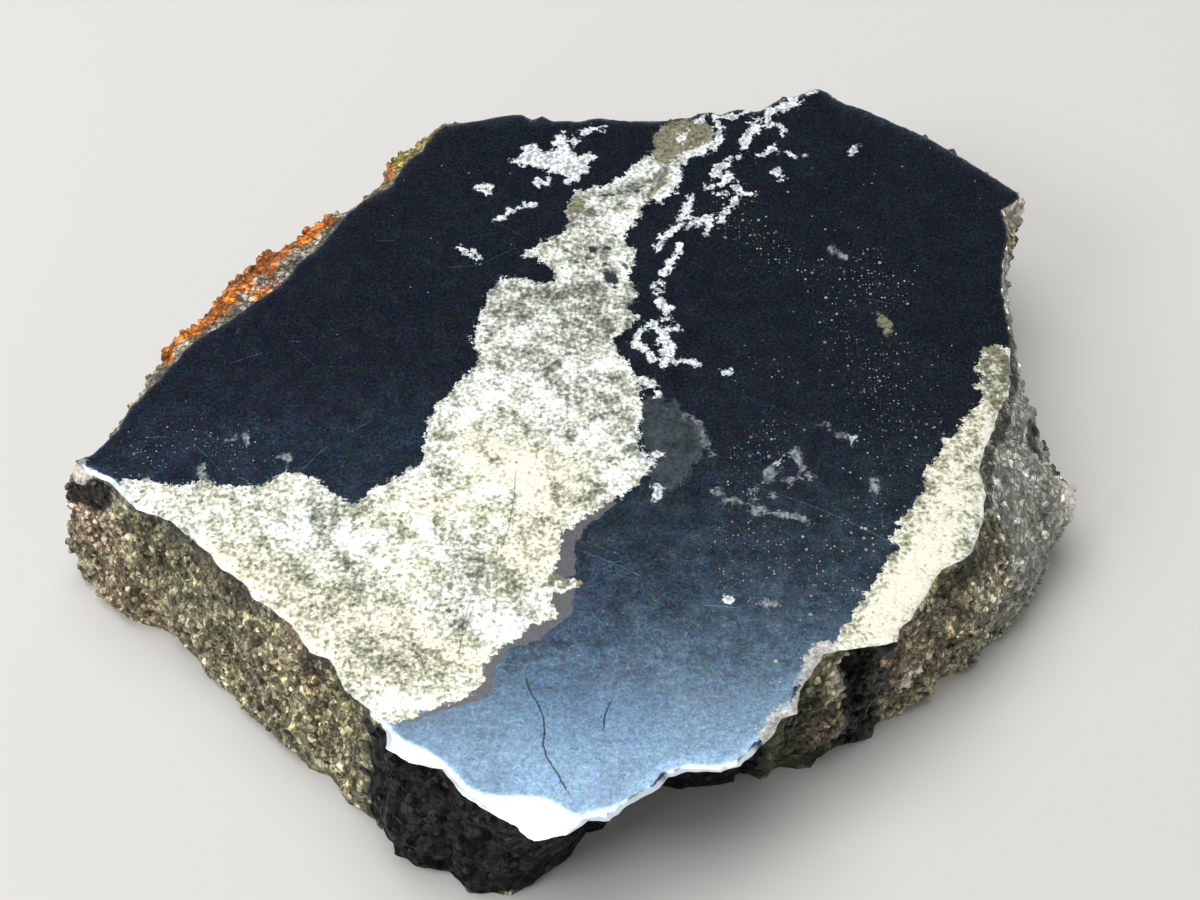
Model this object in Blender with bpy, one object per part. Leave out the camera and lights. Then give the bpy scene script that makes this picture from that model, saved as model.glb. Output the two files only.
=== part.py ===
"""A covellite slab: a sawn slice of blue-black covellite crossed by pyrite.

One closed solid, in metres, +Z up. It rests on its sawn underside, with the polished face on top
and rough broken sides. +X is the long way across the face, and the front, which is the end with
the undercut, points to -Y.
"""

import math

import bmesh
import bpy
from mathutils import Vector, noise

MM = 0.001

# Driving sizes, in millimetres
THICKNESS = 14.0
STATION_SPACING = 1.15
# What the outlines below are moved by, so that the box of the finished slab is centred on the origin
CENTRE_SHIFT = (0.4, -0.3)

# The edge of the polished face, anticlockwise from its left tip, measured from a point inside the face
RIM = (
    (-35.9, -3.5), (-35.2, -4.4), (-33.3, -5.4), (-31.0, -7.7), (-28.5, -8.7), (-25.6, -11.4),
    (-24.5, -12.8), (-23.1, -13.7), (-21.9, -15.4), (-20.7, -16.1), (-19.0, -17.7), (-18.0, -19.5),
    (-16.5, -20.1), (-15.3, -22.5), (-13.6, -23.9), (-13.5, -24.4), (-12.8, -25.0), (-12.4, -25.7),
    (-12.3, -26.9), (-10.8, -27.9), (-8.6, -28.4), (-7.2, -30.3), (-5.3, -31.6), (-3.8, -32.4),
    (-3.4, -32.9), (-2.4, -33.6), (-0.4, -33.2), (1.0, -32.2), (2.4, -32.2), (3.6, -31.1),
    (5.7, -29.8), (6.3, -29.0), (7.6, -28.6), (9.7, -28.6), (11.0, -28.2), (13.4, -25.8),
    (13.8, -24.7), (14.9, -24.3), (15.2, -22.5), (17.1, -19.6), (22.0, -18.7), (22.3, -17.8),
    (23.1, -16.9), (25.5, -12.9), (27.0, -12.1), (27.9, -11.2), (28.8, -8.7), (29.2, -6.5),
    (29.0, -4.2), (29.6, -2.2), (30.4, -0.5), (31.2, 1.7), (31.7, 2.2), (31.9, 3.2),
    (32.4, 8.0), (32.2, 12.7), (32.6, 15.3), (33.2, 17.5), (33.0, 20.5), (33.8, 21.1),
    (34.5, 21.8), (34.3, 22.4), (28.3, 27.8), (23.1, 31.2), (21.3, 32.0), (20.1, 33.1),
    (19.3, 33.6), (17.4, 32.6), (16.6, 32.7), (14.6, 31.0), (14.0, 31.0), (13.4, 31.3),
    (12.3, 31.1), (11.4, 30.6), (10.7, 30.9), (9.7, 30.8), (9.0, 30.3), (6.4, 29.9),
    (3.5, 30.0), (1.8, 30.3), (0.2, 29.9), (-2.1, 30.0), (-2.8, 30.5), (-3.6, 30.0),
    (-4.4, 30.6), (-5.1, 30.7), (-10.7, 29.4), (-11.4, 28.6), (-12.4, 26.7), (-13.3, 25.9),
    (-14.6, 23.0), (-16.6, 21.5), (-18.0, 19.9), (-19.7, 16.7), (-21.1, 15.3), (-22.1, 13.3),
    (-26.3, 9.2), (-28.5, 7.4), (-32.6, 1.0), (-33.1, -0.6), (-33.8, -1.7), (-34.9, -3.1),
)

# How far the sides stand out past the rim, by bearing round the slab in degrees from +X:
# at the shoulder just under the face, at the belly halfway down, and at the foot
SIDES = (
    (0, 1.0, 5.6, 4.6),
    (4, 0.9, 3.6, 3.0),
    (10, 0.9, 1.6, 1.2),
    (18, 0.8, 1.5, 0.8),
    (27, 0.4, 0.8, 0.0),
    (33, 0.2, -0.2, -0.8),
    (45, 0.2, -0.5, -1.2),
    (60, 0.1, 0.4, 0.2),
    (75, 0.3, 0.8, 0.6),
    (90, 0.2, 0.4, -0.4),
    (104, 0.3, 0.7, 0.2),
    (110, 0.9, 0.9, 0.3),
    (118, 1.7, 1.7, 0.8),
    (124, 0.8, 1.0, 0.6),
    (129, 0.2, 0.9, 0.7),
    (134, 1.6, 1.5, 0.4),
    (140, 2.6, 2.6, 1.0),
    (150, 3.6, 3.4, 1.6),
    (158, 2.8, 3.0, 2.2),
    (164, 1.9, 2.6, 2.0),
    (170, 0.8, 1.6, 1.2),
    (178, 0.2, 1.2, 1.3),
    (185, 0.2, 1.8, 2.4),
    (190, 0.3, 2.0, 2.8),
    (197, 0.4, 1.7, 2.2),
    (205, 0.5, 1.6, 2.2),
    (222, 0.5, 1.5, 2.2),
    (232, 0.3, 0.9, 1.7),
    (240, 0.2, 0.6, 1.3),
    (249, 0.3, 0.7, 0.5),
    (256, 0.1, 0.1, 0.4),
    (261, -0.3, -0.9, -0.9),
    (267, -1.1, -3.8, -4.8),
    (272, -1.4, -5.2, -6.4),
    (280, -1.5, -5.4, -6.8),
    (290, -1.4, -5.0, -6.4),
    (298, -1.0, -3.6, -4.6),
    (304, -0.2, -1.4, -1.8),
    (310, 0.3, 0.4, 0.8),
    (316, -0.9, -1.0, -0.4),
    (322, -0.4, -0.4, -0.8),
    (326, 0.0, 0.5, 0.4),
    (330, 0.2, 0.8, 0.9),
    (338, 0.4, 1.8, 1.8),
    (345, 0.7, 3.6, 3.6),
    (352, 1.0, 6.0, 5.2),
    (357, 1.1, 7.4, 6.0),
)
SHOULDER_DEPTH = 1.0
BELLY_DEPTH = 8.0

# Lumps and hollows of the broken sides: bearing, depth below the face, radius, how far it stands out
LUMPS = (
    (311, 4.5, 2.6, 0.9),
    (313, 9.0, 3.0, 0.9),
    (317, 3.0, 2.4, -1.6),
    (321, 11.0, 2.2, -1.7),
    (325, 7.0, 3.0, 0.9),
    (329, 11.8, 2.2, 0.8),
    (333, 2.4, 2.6, -0.8),
    (334, 6.4, 3.6, 0.9),
    (341, 8.0, 1.6, -0.9),
    (347, 11.0, 4.0, 0.7),
    (359, 5.0, 2.2, -0.8),
    (8, 6.0, 2.4, -0.7),
    (17, 9.0, 3.4, 0.8),
    (41, 7.5, 4.0, 0.9),
    (52, 10.0, 3.6, -1.1),
    (66, 5.0, 3.6, 0.8),
    (79, 9.5, 4.2, -1.0),
    (95, 5.5, 3.8, 0.9),
    (106, 10.5, 3.4, -0.9),
    (127, 7.0, 3.6, 0.8),
    (146, 8.0, 4.4, -1.2),
    (160, 11.0, 3.4, 0.7),
    (174, 6.0, 2.8, -0.8),
    (184, 9.8, 2.6, 0.7),
    (197, 4.6, 2.4, -0.5),
    (204, 8.4, 3.0, 0.6),
    (217, 5.0, 2.8, 0.5),
    (226, 9.4, 2.6, 0.6),
    (237, 4.0, 2.4, -0.6),
    (246, 9.0, 3.6, 0.7),
    (257, 5.0, 3.4, -0.6),
    (275, 6.0, 4.0, 0.8),
    (288, 8.5, 4.0, -0.9),
)

# Depths of the rings that carry the sides, from the rim to the foot
RING_DEPTHS = (0.0, 0.45, 1.0, 1.9, 3.0, 4.2, 5.4, 6.6, 7.8, 9.0, 10.2, 11.4, 12.6, 13.4, THICKNESS)

# The rough break: blocks of broken grain, the broad swell under them and the faint ledges across them
BLOCK_SIZE = 2.7
BLOCK_RELIEF = 0.67
BLOCK_SPREAD = 1.7
SWELL_SIZE = 6.5
SWELL_RELIEF = 0.55
LEDGE_RISE = 3.6
LEDGE_RELIEF = 0.22
LEDGE_BEND = 0.9
LEDGE_BEND_SIZE = 9.0
# How far the rings wander up and down, so that no edge runs level round the slab
RING_WAVE = 0.3
RING_WAVE_SIZE = 3.1
RING_WAVE_SEED = (7, 3, 1)
# The relief starts from nothing at the rim and is partly worn away at the foot
FADE_AT_RIM = 1.2
FOOT_ROUGHNESS = 0.55

# The polished face rolls off towards its front edge: bearing, width of the roll, drop at the rim
EDGE_ROLL = (
    (0, 0.5, 0.04),
    (120, 0.5, 0.04),
    (225, 0.5, 0.05),
    (243, 1.4, 0.16),
    (262, 2.2, 0.26),
    (280, 1.4, 0.16),
    (296, 0.8, 0.08),
    (315, 0.6, 0.05),
)

FACE_COLOR = (0.012, 0.022, 0.055)
FACE_ROUGHNESS = 0.25
FACE_METALLIC = 0.6
BROKEN_COLOR = (0.16, 0.14, 0.11)
BROKEN_ROUGHNESS = 0.8
BROKEN_METALLIC = 0.0
# The face takes the mesh's first material slot and the rest its second
BROKEN_SLOT = 1


def clear_scene():
    for obj in list(bpy.data.objects):
        bpy.data.objects.remove(obj)


def at_bearing(table, bearing):
    """The table's row at this bearing, eased between its rows all the way round."""
    for before, after in zip(table, table[1:] + table[:1]):
        span = (after[0] - before[0]) % 360
        along = (bearing - before[0]) % 360
        if along < span:
            t = along / span
            t = t * t * (3 - 2 * t)
            return [a + (b - a) * t for a, b in zip(before[1:], after[1:])]
    return list(table[0][1:])


def stations():
    """The rim's own corners and enough points between them, as (bearing in degrees, radius)."""
    found = []
    for (ax, ay), (bx, by) in zip(RIM, RIM[1:] + RIM[:1]):
        steps = max(1, math.ceil(math.hypot(bx - ax, by - ay) / STATION_SPACING))
        for i in range(steps):
            x = ax + (bx - ax) * i / steps
            y = ay + (by - ay) * i / steps
            found.append((math.degrees(math.atan2(y, x)) % 360, math.hypot(x, y)))
    return found


def point(bearing, radius, z):
    angle = math.radians(bearing)
    return Vector((radius * math.cos(angle), radius * math.sin(angle), z))


def stand_out(bearing, depth):
    """How far the smooth side stands past the rim at this depth."""
    shoulder, belly, foot = at_bearing(SIDES, bearing)
    if depth < SHOULDER_DEPTH:
        return shoulder * math.sqrt(depth / SHOULDER_DEPTH)
    if depth < BELLY_DEPTH:
        t = (depth - SHOULDER_DEPTH) / (BELLY_DEPTH - SHOULDER_DEPTH)
        return shoulder + (belly - shoulder) * math.sin(t * math.pi / 2)
    t = (depth - BELLY_DEPTH) / (THICKNESS - BELLY_DEPTH)
    return belly + (foot - belly) * t * t * (3 - 2 * t)


def lumps_at(place):
    """The sum of the named lumps and hollows that reach this point of the side."""
    total = 0.0
    for bearing, depth, reach, out in LUMPS:
        angle = math.radians(bearing)
        across = Vector((-math.sin(angle), math.cos(angle), 0)).dot(place)
        outward = Vector((math.cos(angle), math.sin(angle), 0)).dot(place)
        away = math.hypot(across, THICKNESS - depth - place.z) / reach
        if outward > 0 and away < 1:
            total += out * (1 - away * away) ** 2
    return total


def broken_relief(place):
    """Blocks, swell and faint ledges of the broken rock, as a distance along the bearing."""
    nearest_block = noise.voronoi(place / BLOCK_SIZE)[1][0]
    block = BLOCK_RELIEF * noise.noise(nearest_block * BLOCK_SPREAD)
    swell = SWELL_RELIEF * noise.noise(place / SWELL_SIZE)
    bend = LEDGE_BEND * noise.noise(place / LEDGE_BEND_SIZE)
    ledge = (place.z / LEDGE_RISE + bend) % 1.0
    return block + swell + LEDGE_RELIEF * (0.5 - ledge)


def side_point(bearing, rim_radius, depth):
    """The point of the side at this bearing and depth, in millimetres."""
    smooth = point(bearing, rim_radius + stand_out(bearing, depth), THICKNESS - depth)
    fade = min(1.0, depth / FADE_AT_RIM)
    if depth >= THICKNESS:
        fade = FOOT_ROUGHNESS
    relief = lumps_at(smooth) + broken_relief(smooth)
    z = smooth.z
    if FADE_AT_RIM < depth < THICKNESS - FADE_AT_RIM:
        z += RING_WAVE * noise.noise(smooth / RING_WAVE_SIZE + Vector(RING_WAVE_SEED))
    return point(bearing, rim_radius + stand_out(bearing, depth) + fade * relief, z)


def slab_rings():
    """The rings of points from the flat of the face over the rim and down to the foot."""
    round_the_rim = stations()
    rings = []
    inner = []
    for bearing, radius in round_the_rim:
        width, _ = at_bearing(EDGE_ROLL, bearing)
        inner.append(point(bearing, radius - width, THICKNESS))
    rings.append(inner)
    for depth in RING_DEPTHS:
        ring = []
        for bearing, radius in round_the_rim:
            _, drop = at_bearing(EDGE_ROLL, bearing)
            place = side_point(bearing, radius, depth)
            if depth == 0:
                place.z -= drop
            ring.append(place)
        rings.append(ring)
    return rings


def principled(name, color, roughness, metallic):
    material = bpy.data.materials.new(name)
    material.use_nodes = True
    shader = material.node_tree.nodes["Principled BSDF"]
    shader.inputs["Base Color"].default_value = (*color, 1)
    shader.inputs["Roughness"].default_value = roughness
    shader.inputs["Metallic"].default_value = metallic
    return material


def make_slab():
    shift = Vector((CENTRE_SHIFT[0], CENTRE_SHIFT[1], 0))
    shape = bmesh.new()
    rings = []
    for ring in slab_rings():
        rings.append([shape.verts.new((place + shift) * MM) for place in ring])
    for upper, lower in zip(rings, rings[1:]):
        count = len(upper)
        for i in range(count):
            after = (i + 1) % count
            shape.faces.new((upper[after], upper[i], lower[i], lower[after]))
    sides = list(shape.faces)
    rolled_edge = len(rings[0])
    for part in sides[rolled_edge:]:
        part.material_index = BROKEN_SLOT
    shape.faces.new(rings[0])
    underside = shape.faces.new(list(reversed(rings[-1])))
    underside.material_index = BROKEN_SLOT
    bmesh.ops.triangulate(shape, faces=sides)
    mesh = bpy.data.meshes.new("slab")
    shape.to_mesh(mesh)
    shape.free()
    mesh.materials.append(principled("polished covellite", FACE_COLOR, FACE_ROUGHNESS, FACE_METALLIC))
    mesh.materials.append(principled("rough matrix", BROKEN_COLOR, BROKEN_ROUGHNESS, BROKEN_METALLIC))
    slab = bpy.data.objects.new("slab", mesh)
    bpy.context.collection.objects.link(slab)
    return slab


clear_scene()
make_slab()
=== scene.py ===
# %% [markdown]
# # A covellite slab
#
# The object is one sawn slice of rock: a polished face of blue-black covellite crossed by pale
# pyrite, rough broken sides, and a flat sawn underside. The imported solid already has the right
# outline, thickness and lumps. This notebook cuts its skin finer, breaks its sides up into grains,
# draws the veins on the face, and lights it softly from above.

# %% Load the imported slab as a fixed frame
import math

import bmesh
import bpy
import numpy as np
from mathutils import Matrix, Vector, geometry, noise


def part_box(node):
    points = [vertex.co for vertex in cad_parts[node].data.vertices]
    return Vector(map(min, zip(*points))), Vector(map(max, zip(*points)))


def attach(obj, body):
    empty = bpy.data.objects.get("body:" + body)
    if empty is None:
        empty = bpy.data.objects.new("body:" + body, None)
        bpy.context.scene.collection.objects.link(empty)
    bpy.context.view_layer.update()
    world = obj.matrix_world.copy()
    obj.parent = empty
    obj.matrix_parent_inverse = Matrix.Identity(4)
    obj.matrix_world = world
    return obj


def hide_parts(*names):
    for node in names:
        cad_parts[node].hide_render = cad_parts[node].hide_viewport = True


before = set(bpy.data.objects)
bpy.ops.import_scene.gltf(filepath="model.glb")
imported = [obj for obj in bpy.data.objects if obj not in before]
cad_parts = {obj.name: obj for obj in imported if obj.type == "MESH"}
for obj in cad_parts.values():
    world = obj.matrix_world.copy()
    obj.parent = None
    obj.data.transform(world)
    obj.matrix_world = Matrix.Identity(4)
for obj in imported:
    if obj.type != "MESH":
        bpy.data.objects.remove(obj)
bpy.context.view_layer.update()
MM = 0.001
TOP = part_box("slab")[1].z / MM
SEED = 7
rng = np.random.default_rng(SEED)
# Without a seed of its own, the noise of mathutils starts from the clock, another stone each run.
noise.seed_set(SEED)

# %% [markdown]
# ## Where the photograph was taken from
#
# The veins are easiest to draw where they were seen, as points in the photograph. So the camera
# comes first. It looks down on the slab at 54 degrees, with the long side of its picture level.
# With the camera known, a ray through each point lands on the polished face and gives its place
# in millimetres, so nothing has to be fitted by eye.

# %% The camera
PHOTO_SIZE = (1200, 900)
FIELD_OF_VIEW = math.radians(28)
CAMERA_HEIGHT_ANGLE = math.radians(54)
CAMERA_DISTANCE = 173.27
CAMERA_AIM = (2.2, -2.9)
SENSOR = 36.0
FOCAL_PIXELS = PHOTO_SIZE[0] / 2 / math.tan(FIELD_OF_VIEW / 2)

look = np.array([0, math.cos(CAMERA_HEIGHT_ANGLE), -math.sin(CAMERA_HEIGHT_ANGLE)])
picture_up = np.array([0, math.sin(CAMERA_HEIGHT_ANGLE), math.cos(CAMERA_HEIGHT_ANGLE)])
camera_place = np.array([*CAMERA_AIM, TOP]) - CAMERA_DISTANCE * look

camera_data = bpy.data.cameras.new("camera")
camera_data.sensor_width = SENSOR
camera_data.lens = SENSOR / 2 / math.tan(FIELD_OF_VIEW / 2)
camera = bpy.data.objects.new("camera", camera_data)
camera.location = Vector(camera_place) * MM
camera.rotation_euler = (math.pi / 2 - CAMERA_HEIGHT_ANGLE, 0, 0)
bpy.context.scene.collection.objects.link(camera)
bpy.context.scene.camera = camera
print("camera in mm:", camera_place.round(2), "lens", round(camera_data.lens, 2))

# %% From a point in the photograph to a point on the face
def on_face(pixels):
    """Places on the polished face, in millimetres, of points given in the photograph's pixels."""
    pixels = np.asarray(pixels, float)
    across = pixels[:, 0] - PHOTO_SIZE[0] / 2
    above = PHOTO_SIZE[1] / 2 - pixels[:, 1]
    rays = look * FOCAL_PIXELS + above[:, None] * picture_up
    rays[:, 0] += across
    reach = (TOP - camera_place[2]) / rays[:, 2]
    return camera_place[:2] + reach[:, None] * rays[:, :2]


PIXEL = CAMERA_DISTANCE / FOCAL_PIXELS
print("one pixel is about", round(PIXEL, 3), "mm at the middle of the face")

# %% [markdown]
# ## What the saw laid open
#
# Each mineral's patch is either a closed outline or a stroke: a line of points, each with its own
# width, which suits thin veinlets, flecks and cracks. All of them are in pixels of the photograph.
# A row of a stroke is across, down, width.

# %% The two pyrite veins
MAIN_VEIN = (
    (110, 487), (126, 479), (148, 479), (160, 486), (178, 487), (192, 482), (204, 480), (220, 488),
    (236, 485), (262, 486), (277, 476), (290, 473), (302, 474), (316, 479), (326, 488), (340, 500),
    (354, 505), (367, 493), (384, 484), (405, 473), (423, 460), (425, 438), (429, 420), (434, 405),
    (444, 400), (463, 378), (476, 366), (479, 350), (471, 338), (478, 324), (482, 306), (490, 290),
    (502, 278), (520, 278), (540, 284), (556, 282), (556, 274), (548, 265), (538, 259), (522, 256),
    (532, 248), (542, 241), (560, 236), (566, 227), (571, 222), (566, 213), (570, 200), (576, 190),
    (588, 188), (602, 187), (614, 181), (628, 172), (640, 160), (655, 152), (654, 140), (659, 130),
    (670, 124), (686, 121), (702, 120), (713, 128), (714, 142), (706, 152), (690, 158), (681, 166),
    (684, 176), (677, 186), (670, 194), (660, 203), (648, 201), (641, 206), (641, 216), (633, 223),
    (626, 232), (627, 243), (635, 251), (633, 264), (627, 279), (636, 290), (640, 300), (627, 304),
    (631, 312), (641, 317), (619, 335), (611, 343), (629, 363), (637, 378), (641, 400), (642, 420),
    (639, 443), (646, 458), (662, 459), (648, 473), (631, 489), (615, 500), (600, 506), (585, 517),
    (573, 525), (565, 533), (560, 543), (559, 556), (554, 570), (556, 578), (575, 578), (578, 586),
    (568, 592), (555, 594), (549, 603), (556, 608), (558, 616), (545, 622), (530, 624), (523, 634),
    (521, 640), (505, 643), (495, 650), (488, 660), (482, 672), (484, 682), (478, 690), (462, 698),
    (450, 703), (430, 710), (415, 716), (402, 722), (386, 724), (366, 770), (240, 650), (100, 530),
)
RIGHT_VEIN = (
    (1030, 348), (995, 347), (984, 352), (976, 363), (973, 370), (985, 378), (974, 387), (984, 397),
    (972, 412), (960, 425), (958, 432), (942, 441), (945, 447), (935, 463), (923, 472), (925, 490),
    (915, 502), (908, 511), (896, 524), (901, 528), (889, 538), (898, 548), (882, 565), (880, 572),
    (868, 590), (860, 605), (851, 616), (840, 632), (838, 645), (842, 675), (900, 700), (1060, 560),
)
print("vein outlines have", len(MAIN_VEIN), "and", len(RIGHT_VEIN), "points")

# %% White quartz: the star, the veinlets beside the neck, loose flecks, and painted glints
STAR = (
    (508, 159), (515, 163), (528, 165), (540, 169), (555, 175), (576, 178), (586, 170), (588, 160),
    (597, 156), (588, 154), (578, 156), (572, 148), (568, 140), (563, 132), (556, 137), (554, 148),
    (547, 153), (540, 149), (534, 143), (524, 146), (526, 153), (518, 157),
)
WHITE_STROKES = (
    ((572, 142, 3), (581, 136, 5), (591, 129, 7), (604, 126, 3)),
    ((537, 184, 9), (545, 183, 9)),
    ((568, 181, 5), (575, 180, 6)),
    ((481, 186, 5), (488, 186, 5)),
    ((478, 191, 2), (487, 192, 3)),
    ((526, 204, 6), (532, 203, 6)),
    ((497, 218, 5), (503, 216, 5), (511, 211, 3), (524, 207, 2)),
    ((460, 249, 6), (468, 251, 5), (476, 253, 3), (481, 257, 4)),
    ((700, 121, 3), (703, 116, 8), (706, 113, 2)),
    ((715, 114, 2), (718, 122, 5), (720, 134, 7), (718, 143, 7), (708, 150, 7), (694, 155, 8), (686, 160, 5)),
    ((722, 118, 2), (732, 116, 6), (741, 114, 8), (750, 109, 3)),
    ((757, 121, 2), (765, 116, 6), (773, 108, 8), (782, 105, 13), (791, 103, 14), (798, 97, 9), (816, 90, 3)),
    ((750, 123, 5), (756, 126, 9), (764, 125, 8), (770, 117, 4)),
    ((679, 143, 4), (684, 136, 7), (688, 132, 4)),
    ((754, 130, 9), (748, 140, 7), (741, 150, 5), (735, 158, 2)),
    ((772, 122, 4), (769, 128, 5)),
    ((783, 128, 2), (781, 137, 4), (774, 146, 3), (766, 153, 3), (757, 160, 1)),
    ((784, 152, 1), (792, 155, 2), (806, 157, 1)),
    ((776, 173, 5), (780, 177, 6)),
    ((731, 160, 4), (725, 164, 10), (717, 171, 13), (727, 178, 6)),
    ((729, 174, 5), (722, 184, 7), (706, 187, 4)),
    ((714, 194, 5), (722, 195, 6), (729, 195, 4)),
    ((739, 186, 4), (738, 192, 6), (733, 203, 6), (727, 213, 6), (718, 222, 6), (706, 231, 4)),
    ((740, 192, 2), (752, 194, 2)),
    ((718, 218, 5), (706, 220, 7), (694, 222, 4), (686, 226, 2)),
    ((691, 197, 4), (687, 208, 8), (681, 218, 7), (681, 226, 4), (670, 231, 7), (663, 238, 6), (659, 249, 4)),
    ((680, 245, 4), (677, 253, 6), (669, 264, 6), (663, 272, 8), (660, 281, 3)),
    ((656, 290, 5), (660, 298, 9), (666, 306, 8), (667, 315, 6), (662, 321, 3)),
    ((645, 322, 3), (655, 327, 6), (661, 332, 8), (664, 343, 11), (668, 354, 9), (662, 367, 4)),
    ((668, 330, 4), (677, 327, 4)),
    ((664, 362, 3), (680, 362, 3), (697, 363, 1)),
    ((641, 330, 5), (636, 341, 8), (648, 352, 5), (655, 360, 3)),
    ((644, 378, 4), (652, 384, 8), (657, 393, 4)),
    ((645, 458, 5), (655, 456, 6), (661, 455, 3)),
    ((658, 482, 5), (656, 491, 6), (655, 498, 4)),
    ((659, 198, 9), (671, 190, 9), (677, 178, 9), (674, 168, 6)),
    ((623, 180, 7), (634, 172, 8), (644, 162, 8)),
    ((853, 155, 5), (860, 147, 4)),
    ((721, 371, 1), (726, 371, 4), (731, 371, 1)),
    ((725, 600, 4), (730, 603, 4)),
    ((849, 440, 3), (853, 441, 5)),
    ((784, 456, 2), (780, 464, 2)),
)
WHITE_FLECKS_AND_GLINTS = (
    ((777, 710, 3), (786, 705, 5)),
    ((839, 646, 5), (848, 641, 6)),
    ((74, 471, 13), (82, 463, 14)),
    ((833, 252, 6), (846, 256, 5)),
    ((750, 597, 3), (756, 601, 4), (768, 603, 7), (777, 600, 2)),
    ((792, 453, 6), (797, 457, 8), (801, 464, 3), (812, 479, 3)),
    ((848, 438, 5), (853, 441, 8)),
    ((823, 425, 1), (835, 431, 2), (846, 437, 3)),
    ((873, 492, 2), (875, 486, 5), (878, 480, 2)),
    ((790, 480, 6), (790, 480, 6)),
    ((765, 475, 4), (772, 469, 5)),
    ((718, 489, 3), (725, 498, 4), (743, 503, 6), (758, 509, 5), (776, 513, 4), (808, 520, 4)),
    ((785, 466, 2), (772, 476, 2), (757, 488, 4), (748, 498, 4)),
    ((752, 497, 2), (774, 497, 2)),
    # Painted highlight: the next two strokes are the thin light line along the right edge of the grey gangue
    # patch.
    ((687, 415, 3), (694, 419, 3), (701, 428, 4), (703, 439, 3)),
    ((703, 442, 2), (708, 450, 1), (713, 456, 1)),
    ((231, 333, 2), (235, 334, 2)),
    ((280, 458, 2), (287, 457, 4), (289, 463, 2)),
    ((205, 466, 2), (200, 472, 4), (205, 477, 3)),
    ((228, 441, 2), (234, 437, 2)),
    ((244, 435, 2), (248, 442, 2)),
)
print("white strokes and flecks:", len(WHITE_STROKES) + len(WHITE_FLECKS_AND_GLINTS))

# %% Where the polishing wheel wore the front edge down
# The first row is the line where the wear begins. The second closes it outside the slab.
WORN_EDGE = (
    (384, 724), (392, 733), (403, 742), (414, 747), (427, 753), (441, 763), (452, 774), (461, 783),
    (470, 791), (482, 796), (505, 798), (531, 798), (545, 800), (557, 805), (567, 813), (578, 817),
    (594, 814), (610, 810), (626, 803),
)
BEYOND_WORN_EDGE = ((650, 830), (560, 880), (500, 870), (440, 810), (380, 770))
print("worn edge:", len(WORN_EDGE), "points")

# %% Grey gangue and beige stain
DULL_PATCH = (
    (641, 404), (648, 397), (660, 395), (672, 400), (682, 411), (692, 418), (702, 428), (705, 441),
    (702, 452), (694, 466), (687, 475), (684, 483), (672, 488), (660, 487), (651, 481), (647, 472),
    (655, 462), (648, 455), (640, 440),
)
BEIGE_PATCH = (
    (652, 160), (653, 140), (659, 130), (670, 124), (686, 121), (702, 120), (713, 128), (714, 138),
    (706, 145), (696, 148), (684, 152), (678, 158), (668, 164), (660, 163),
)
GREY_CORNER = (
    (858, 635), (835, 640), (822, 642), (812, 647), (808, 655), (804, 665), (803, 672), (796, 688),
    (790, 704), (777, 709), (768, 722), (756, 738), (772, 756), (800, 735), (830, 690), (862, 662),
)
BEIGE_STROKES = (
    ((646, 196, 6), (654, 190, 9), (664, 182, 6)),
    ((664, 172, 5), (672, 178, 4)),
    ((578, 198, 10), (583, 209, 8)),
    ((571, 216, 8), (575, 206, 8)),
    ((990, 352, 14), (1002, 358, 16), (1006, 374, 9)),
    ((980, 366, 8), (990, 372, 6)),
    ((1004, 386, 5), (1000, 400, 6), (996, 412, 5)),
    ((556, 583, 10), (576, 584, 7)),
    ((877, 314, 5), (883, 319, 12), (886, 328, 11)),
)
GREY_STROKES = (
    ((611, 503, 8), (594, 512, 14), (578, 526, 15), (567, 540, 17), (563, 553, 20), (566, 564, 19),
     (570, 573, 10)),
    ((552, 578, 12), (566, 574, 9)),
    ((574, 587, 7), (559, 599, 22), (563, 609, 20), (550, 619, 20), (535, 630, 20), (522, 638, 14)),
    ((522, 641, 7), (508, 645, 10), (496, 652, 12), (487, 664, 17), (484, 676, 19), (482, 689, 18),
     (473, 697, 11)),
    ((476, 697, 10), (462, 701, 9), (440, 709, 7), (420, 717, 5), (400, 724, 4)),
    ((88, 470, 3), (98, 477, 4), (112, 485, 5)),
)
print("grey strokes:", len(GREY_STROKES), "beige strokes:", len(BEIGE_STROKES))

# %% Cracks, dark holes, and the worn rim with its painted glints
CRACKS = (
    ((526, 680, 1), (531, 693, 1), (538, 703, 1.4), (543, 716, 1.2), (545, 728, 1.6), (543, 745, 1.4),
     (547, 758, 1), (556, 771, 1), (566, 789, 0.8)),
    ((609, 704, 0.4), (605, 715, 0.7), (604, 726, 0.4)),
    ((580, 540, 0.7), (603, 548, 0.8), (625, 558, 1), (640, 573, 0.8), (657, 590, 1), (675, 612, 0.8),
     (692, 637, 0.9)),
    ((516, 472, 0.6), (514, 500, 0.8), (509, 527, 0.8), (502, 545, 0.6)),
    ((471, 598, 0.6), (464, 622, 0.9), (459, 655, 0.6)),
    ((400, 640, 0.5), (420, 655, 0.7), (426, 674, 0.5)),
)
DARK_HOLES = (
    ((592, 249, 8), (593, 250, 8)),
    ((587, 258, 4), (591, 259, 3)),
    ((583, 267, 3), (585, 268, 3)),
    ((599, 232, 3), (601, 233, 2)),
    ((612, 234, 4), (615, 236, 3)),
    ((636, 191, 4), (638, 191, 4)),
    ((598, 212, 2), (600, 213, 2)),
    ((586, 226, 2), (589, 227, 2)),
    ((622, 262, 3), (627, 268, 4)),
    ((603, 262, 2), (606, 264, 3)),
    ((575, 262, 3), (577, 263, 2)),
    ((594, 222, 2), (596, 223, 2)),
    ((604, 247, 4), (610, 248, 4)),
    ((605, 272, 4), (611, 278, 14), (615, 281, 9)),
    ((613, 287, 3), (617, 288, 3)),
    ((602, 196, 3), (610, 194, 4), (615, 195, 2)),
    ((563, 251, 2), (569, 252, 3)),
    ((578, 247, 3), (583, 251, 2)),
)
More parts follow.
